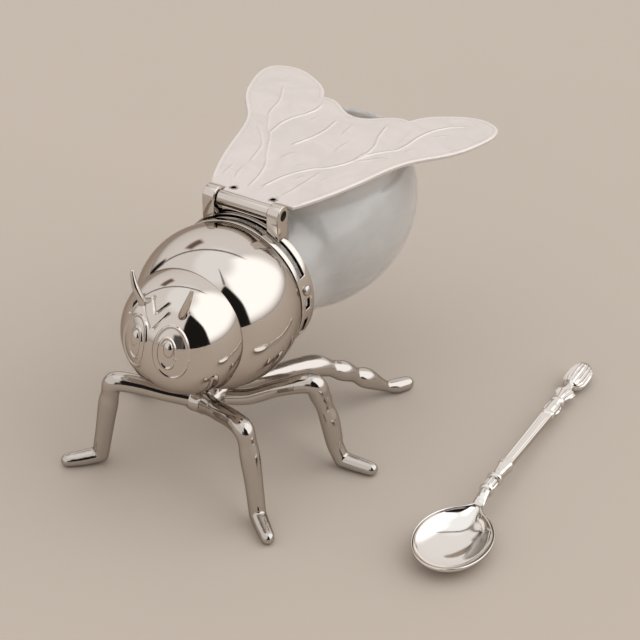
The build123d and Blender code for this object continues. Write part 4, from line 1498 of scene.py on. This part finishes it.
def bowl_shape(wall):
    """Spoon bowl: an oval shell with a rounded rim that draws out towards the handle."""
    half_width, half_length, depth, crown = 13.6, 17.1, 6.6, 0.28
    turns = circle(200)
    to_handle = np.abs((turns - pi / 2 + pi) % (2 * pi) - pi)
    draw = 3.0 * np.exp(-((to_handle / 0.2) ** 2)) + np.exp(-((to_handle / 0.5) ** 2))
    skins = []
    for inset in (0.0, wall):
        rings = []
        for lean in np.linspace(0, pi / 2, 56)[1:]:
            spread = sin(lean) ** 0.92
            thin = inset * (1 - 0.4 * spread**10)
            x = (half_width - thin) * spread * np.cos(turns)
            y = ((half_length - thin) * spread + draw * spread**6) * np.sin(turns)
            rise = depth - (depth - inset) * cos(lean)
            rise -= crown * smooth_step(rise, 4, depth)
            rings.append(np.stack((x, y, np.full_like(turns, rise)), 1))
        skins.append(rings)
    outer, inner = skins
    rim = []
    for share in np.linspace(0, 1, 7)[1:-1]:
        middle = outer[-1] + (inner[-1] - outer[-1]) * share
        rim.append(middle + np.array((0, 0, crown * sin(pi * share))))
    return outer + rim + inner[::-1], (0, 0, 0), (0, 0, wall)


def spoon_places(points):
    """Places on the table of points given across, behind and above the middle of the bowl."""
    points = np.asarray(points, float)
    flat = np.outer(points[:, 0], SPOON_ACROSS) + np.outer(points[:, 1], SPOON_ALONG)
    return SPOON_PLACE + flat + np.outer(points[:, 2], (0, 0, 1))


def handle_shape():
    """Handle with its mouldings, the lines cut along its shaft, its flutes and its bud."""
    stations = []
    for start, end in zip(HANDLE, HANDLE[1:]):
        count = max(1, round((end[0] - start[0]) / 0.4))
        for share in np.arange(count) / count:
            mix = share * share * (3 - 2 * share)
            stations.append(
                [start[0] + (end[0] - start[0]) * share]
                + [a + (b - a) * mix for a, b in zip(start[1:], end[1:])]
            )
    stations.append(list(HANDLE[-1]))
    turns = circle(144)
    rings = []
    for behind, half_width, half_thickness, square, flutes in stations:
        height = HANDLE_HEIGHT - HANDLE_FALL * (behind - HANDLE_START)
        if behind < HANDLE_START:
            height = np.interp(behind, *NECK_RISE)
        if behind > 100:
            height = max(height, BUD_HEIGHT)
        reach = (np.abs(np.cos(turns)) ** square + np.abs(np.sin(turns)) ** square) ** (-1 / square)
        petals = 1 - flutes * np.abs(np.sin(turns * (9 if behind > 102 else 5)))
        x = half_width * reach * petals * np.cos(turns)
        z = half_thickness * reach * petals * np.sin(turns)
        on_shaft = smooth_step(behind, 45, 47) * smooth_step(-behind, -78, -76)
        cut = 0.22 * on_shaft * bump_profile(np.abs(x) - 0.6 * half_width, 0.55)
        z = z - np.sign(z) * cut * (np.abs(z) > 0.8 * half_thickness)
        rings.append(np.stack((x, np.full_like(turns, behind), height + z), 1))
    return rings


class BEEPOT_OT_spoon(bpy.types.Operator):
    """Spoon with a moulded handle that lies beside the pot"""

    bl_idname = "bee_pot.spoon"
    bl_label = "Spoon"

    def execute(self, context):
        sizes, colours = context.scene.bee_pot_sizes, context.scene.bee_pot_colours
        rings, low, high = bowl_shape(sizes.spoon_wall / MM)
        bowl = skin(rings, low, high)
        rings = handle_shape()
        tips = [np.mean(ring, 0) for ring in (rings[0], rings[-1])]
        handle = skin(rings, *tips)
        points, faces = joined(bowl, handle)
        points = spoon_places(points)
        plate = spoon_plate(colours)
        new_piece("spoon.whole", (points, faces), "spoon", plate, ["spoon"], 60)
        return {"FINISHED"}


# Stage

# Soft studio panels in the world: direction and height in degrees as (from, to), how soft their
# edges are, and their colour and strength. Directions go from +Y (0) over +X (90)
STUDIO_WALL = ("#FBF7F4", 0.97)
STUDIO_PANELS = (
    ((-200, 200), (62, 95), 6, "#FFFFFF", 1.1),
    ((-200, 200), (-95, 3), 9, "#8F867F", 1.0),
    ((22, 118), (6, 70), 9, "#FFFFFF", 1.65),
    ((125, 132), (60, 84), 2, "#8E8883", 1.0),
    ((150, 168), (-2, 24), 3, "#5A5755", 1.0),
    ((-87, -80), (-2, 20), 2, "#1C1A19", 1.0),
    ((-70, -50), (37, 47), 3, "#7C6459", 1.0),
)
# Dark doorway: its corners, in degrees round the table and up from it, and its colour
DOORWAY = ((104, -3), (151, -3), (150, 36), (135, 57), (127, 59), (107, 30)), "#201E1D"
# Frame of the light tent, a thin hoop: its axis, how far along the axis its plane lies, the half
# width of its line and its colour
TENT_HOOP = ((-0.34, 0.94, 0), 0.40, 0.028, "#8C857F")
# Camera: its place, what it looks at, and its lens
CAMERA_PLACE = (349.36, -521.84, 486.63)
CAMERA_TARGET = (40.25, 0.83, 69.29)
CAMERA_LENS = 123.48
# The table lies a hair under the feet, round a middle between the pot and the spoon
TABLE_MIDDLE = (40, 0, -0.05)


def studio(world):
    """Paints the soft studio round the pot into the world by direction."""
    world.use_nodes = True
    tree = world.node_tree
    tree.nodes.clear()
    toward = add_node(tree, "ShaderNodeTexCoord").outputs["Generated"]
    split = add_node(tree, "ShaderNodeSeparateXYZ", [("Vector", toward)])
    x, y, z = (split.outputs[axis] for axis in "XYZ")
    angles = []
    for operation, sockets in (("ARCTAN2", [(0, x), (1, y)]), ("ARCSINE", [(0, z)])):
        angle = add_node(tree, "ShaderNodeMath", sockets, operation=operation)
        degrees = add_node(tree, "ShaderNodeMath", [(0, angle.outputs[0])], operation="DEGREES")
        angles.append(degrees.outputs[0])
    shapes = []
    for turns, lifts, soft, code, strength in STUDIO_PANELS:
        limits = []
        for angle, (start, end) in zip(angles, (turns, lifts)):
            for edge, inwards in ((start, soft), (end, -soft)):
                limits.append((angle, edge - inwards, edge + inwards))
        shapes.append((limits, [share * strength for share in to_linear(code)]))
    corners, code = DOORWAY
    turns, lifts = np.radians(corners).T
    corners = np.stack((np.sin(turns) * np.cos(lifts), np.cos(turns) * np.cos(lifts), np.sin(lifts)), 1)
    limits = []
    for start, end in zip(corners, np.roll(corners, -1, 0)):
        side = unit(np.cross(start, end))
        side = side * np.sign(side @ corners.mean(0))
        sockets = [(0, toward), (1, side)]
        along = add_node(tree, "ShaderNodeVectorMath", sockets, operation="DOT_PRODUCT")
        limits.append((along.outputs["Value"], -0.03, 0.03))
    shapes.append((limits, to_linear(code)))
    axis, offset, half_width, code = TENT_HOOP
    sockets = [(0, toward), (1, axis)]
    along = add_node(tree, "ShaderNodeVectorMath", sockets, operation="DOT_PRODUCT")
    sockets = [(0, along.outputs["Value"]), (1, offset)]
    off = add_node(tree, "ShaderNodeMath", sockets, operation="SUBTRACT")
    off = add_node(tree, "ShaderNodeMath", [(0, off.outputs[0])], operation="ABSOLUTE")
    limits = [(off.outputs[0], half_width, half_width / 2), (angles[1], 12, 22), (x, 0.35, 0.1)]
    shapes.append((limits, to_linear(code)))
    light = (*[share * STUDIO_WALL[1] for share in to_linear(STUDIO_WALL[0])], 1)
    for limits, tint in shapes:
        mask = 1.0
        for value, low, high in limits:
            step = add_node(
                tree,
                "ShaderNodeMapRange",
                [("Value", value), ("From Min", low), ("From Max", high)],
                interpolation_type="SMOOTHSTEP",
            )
            sockets = [(0, mask), (1, step.outputs["Result"])]
            mask = add_node(tree, "ShaderNodeMath", sockets, operation="MULTIPLY").outputs[0]
        light = add_node(
            tree,
            "ShaderNodeMix",
            [("Factor", mask), (6, light), (7, (*tint, 1))],
            data_type="RGBA",
            clamp_result=False,
        ).outputs[2]
    back = add_node(tree, "ShaderNodeBackground", [("Color", light), ("Strength", 1.0)])
    add_node(tree, "ShaderNodeOutputWorld", [("Surface", back.outputs[0])])


class BEEPOT_OT_stage(bpy.types.Operator):
    """Plain pale table, soft studio light and the camera"""

    bl_idname = "bee_pot.stage"
    bl_label = "Stage"

    def execute(self, context):
        scene = context.scene
        turns = circle(96)
        rings = [
            np.stack((np.cos(turns), np.sin(turns), 0 * turns), 1) * radius + TABLE_MIDDLE
            for radius in (200, 600, 2000, 6000)
        ]
        table = bpy.data.objects.new("table", new_mesh("table", *skin(rings, TABLE_MIDDLE)))
        scene.collection.objects.link(table)
        table.data.materials.append(matt_table(scene.bee_pot_colours))
        world = bpy.data.worlds.new("studio")
        scene.world = world
        studio(world)
        camera = bpy.data.objects.new("camera", bpy.data.cameras.new("camera"))
        scene.collection.objects.link(camera)
        camera.data.lens = CAMERA_LENS
        camera.data.sensor_width = 36
        camera.data.clip_start = 0.05
        place, target = Vector(CAMERA_PLACE) * MM, Vector(CAMERA_TARGET) * MM
        camera.location = place
        camera.rotation_euler = (target - place).to_track_quat("-Z", "Y").to_euler()
        scene.camera = camera
        scene.view_settings.view_transform = "Standard"
        return {"FINISHED"}


PIECES = (
    BEEPOT_OT_thorax,
    BEEPOT_OT_head,
    BEEPOT_OT_antennae,
    BEEPOT_OT_collar,
    BEEPOT_OT_screws,
    BEEPOT_OT_jar,
    BEEPOT_OT_hinge,
    BEEPOT_OT_wing_lid,
    BEEPOT_OT_hub,
    BEEPOT_OT_legs,
    BEEPOT_OT_spoon,
    BEEPOT_OT_stage,
)


class BEEPOT_PT_pieces(bpy.types.Panel):
    """Lists the pieces, their sizes and their colours"""

    bl_idname = "BEEPOT_PT_pieces"
    bl_label = "Bee pot"
    bl_space_type = "VIEW_3D"
    bl_region_type = "UI"
    bl_category = "Bee pot"

    def draw(self, context):
        layout = self.layout
        for piece in PIECES:
            layout.operator(piece.bl_idname)
        for group in (context.scene.bee_pot_sizes, context.scene.bee_pot_colours):
            box = layout.box()
            for name in group.__annotations__:
                box.prop(group, name)


CLASSES = (BeePotSizes, BeePotColours, *PIECES, BEEPOT_PT_pieces)


def register():
    for kind in CLASSES:
        bpy.utils.register_class(kind)
    bpy.types.Scene.bee_pot_sizes = PointerProperty(type=BeePotSizes)
    bpy.types.Scene.bee_pot_colours = PointerProperty(type=BeePotColours)


def unregister():
    del bpy.types.Scene.bee_pot_colours
    del bpy.types.Scene.bee_pot_sizes
    for kind in reversed(CLASSES):
        bpy.utils.unregister_class(kind)


def main():
    register()
    for piece in PIECES:
        family, name = piece.bl_idname.split(".")
        getattr(getattr(bpy.ops, family), name)()


if __name__ == "__main__":
    main()
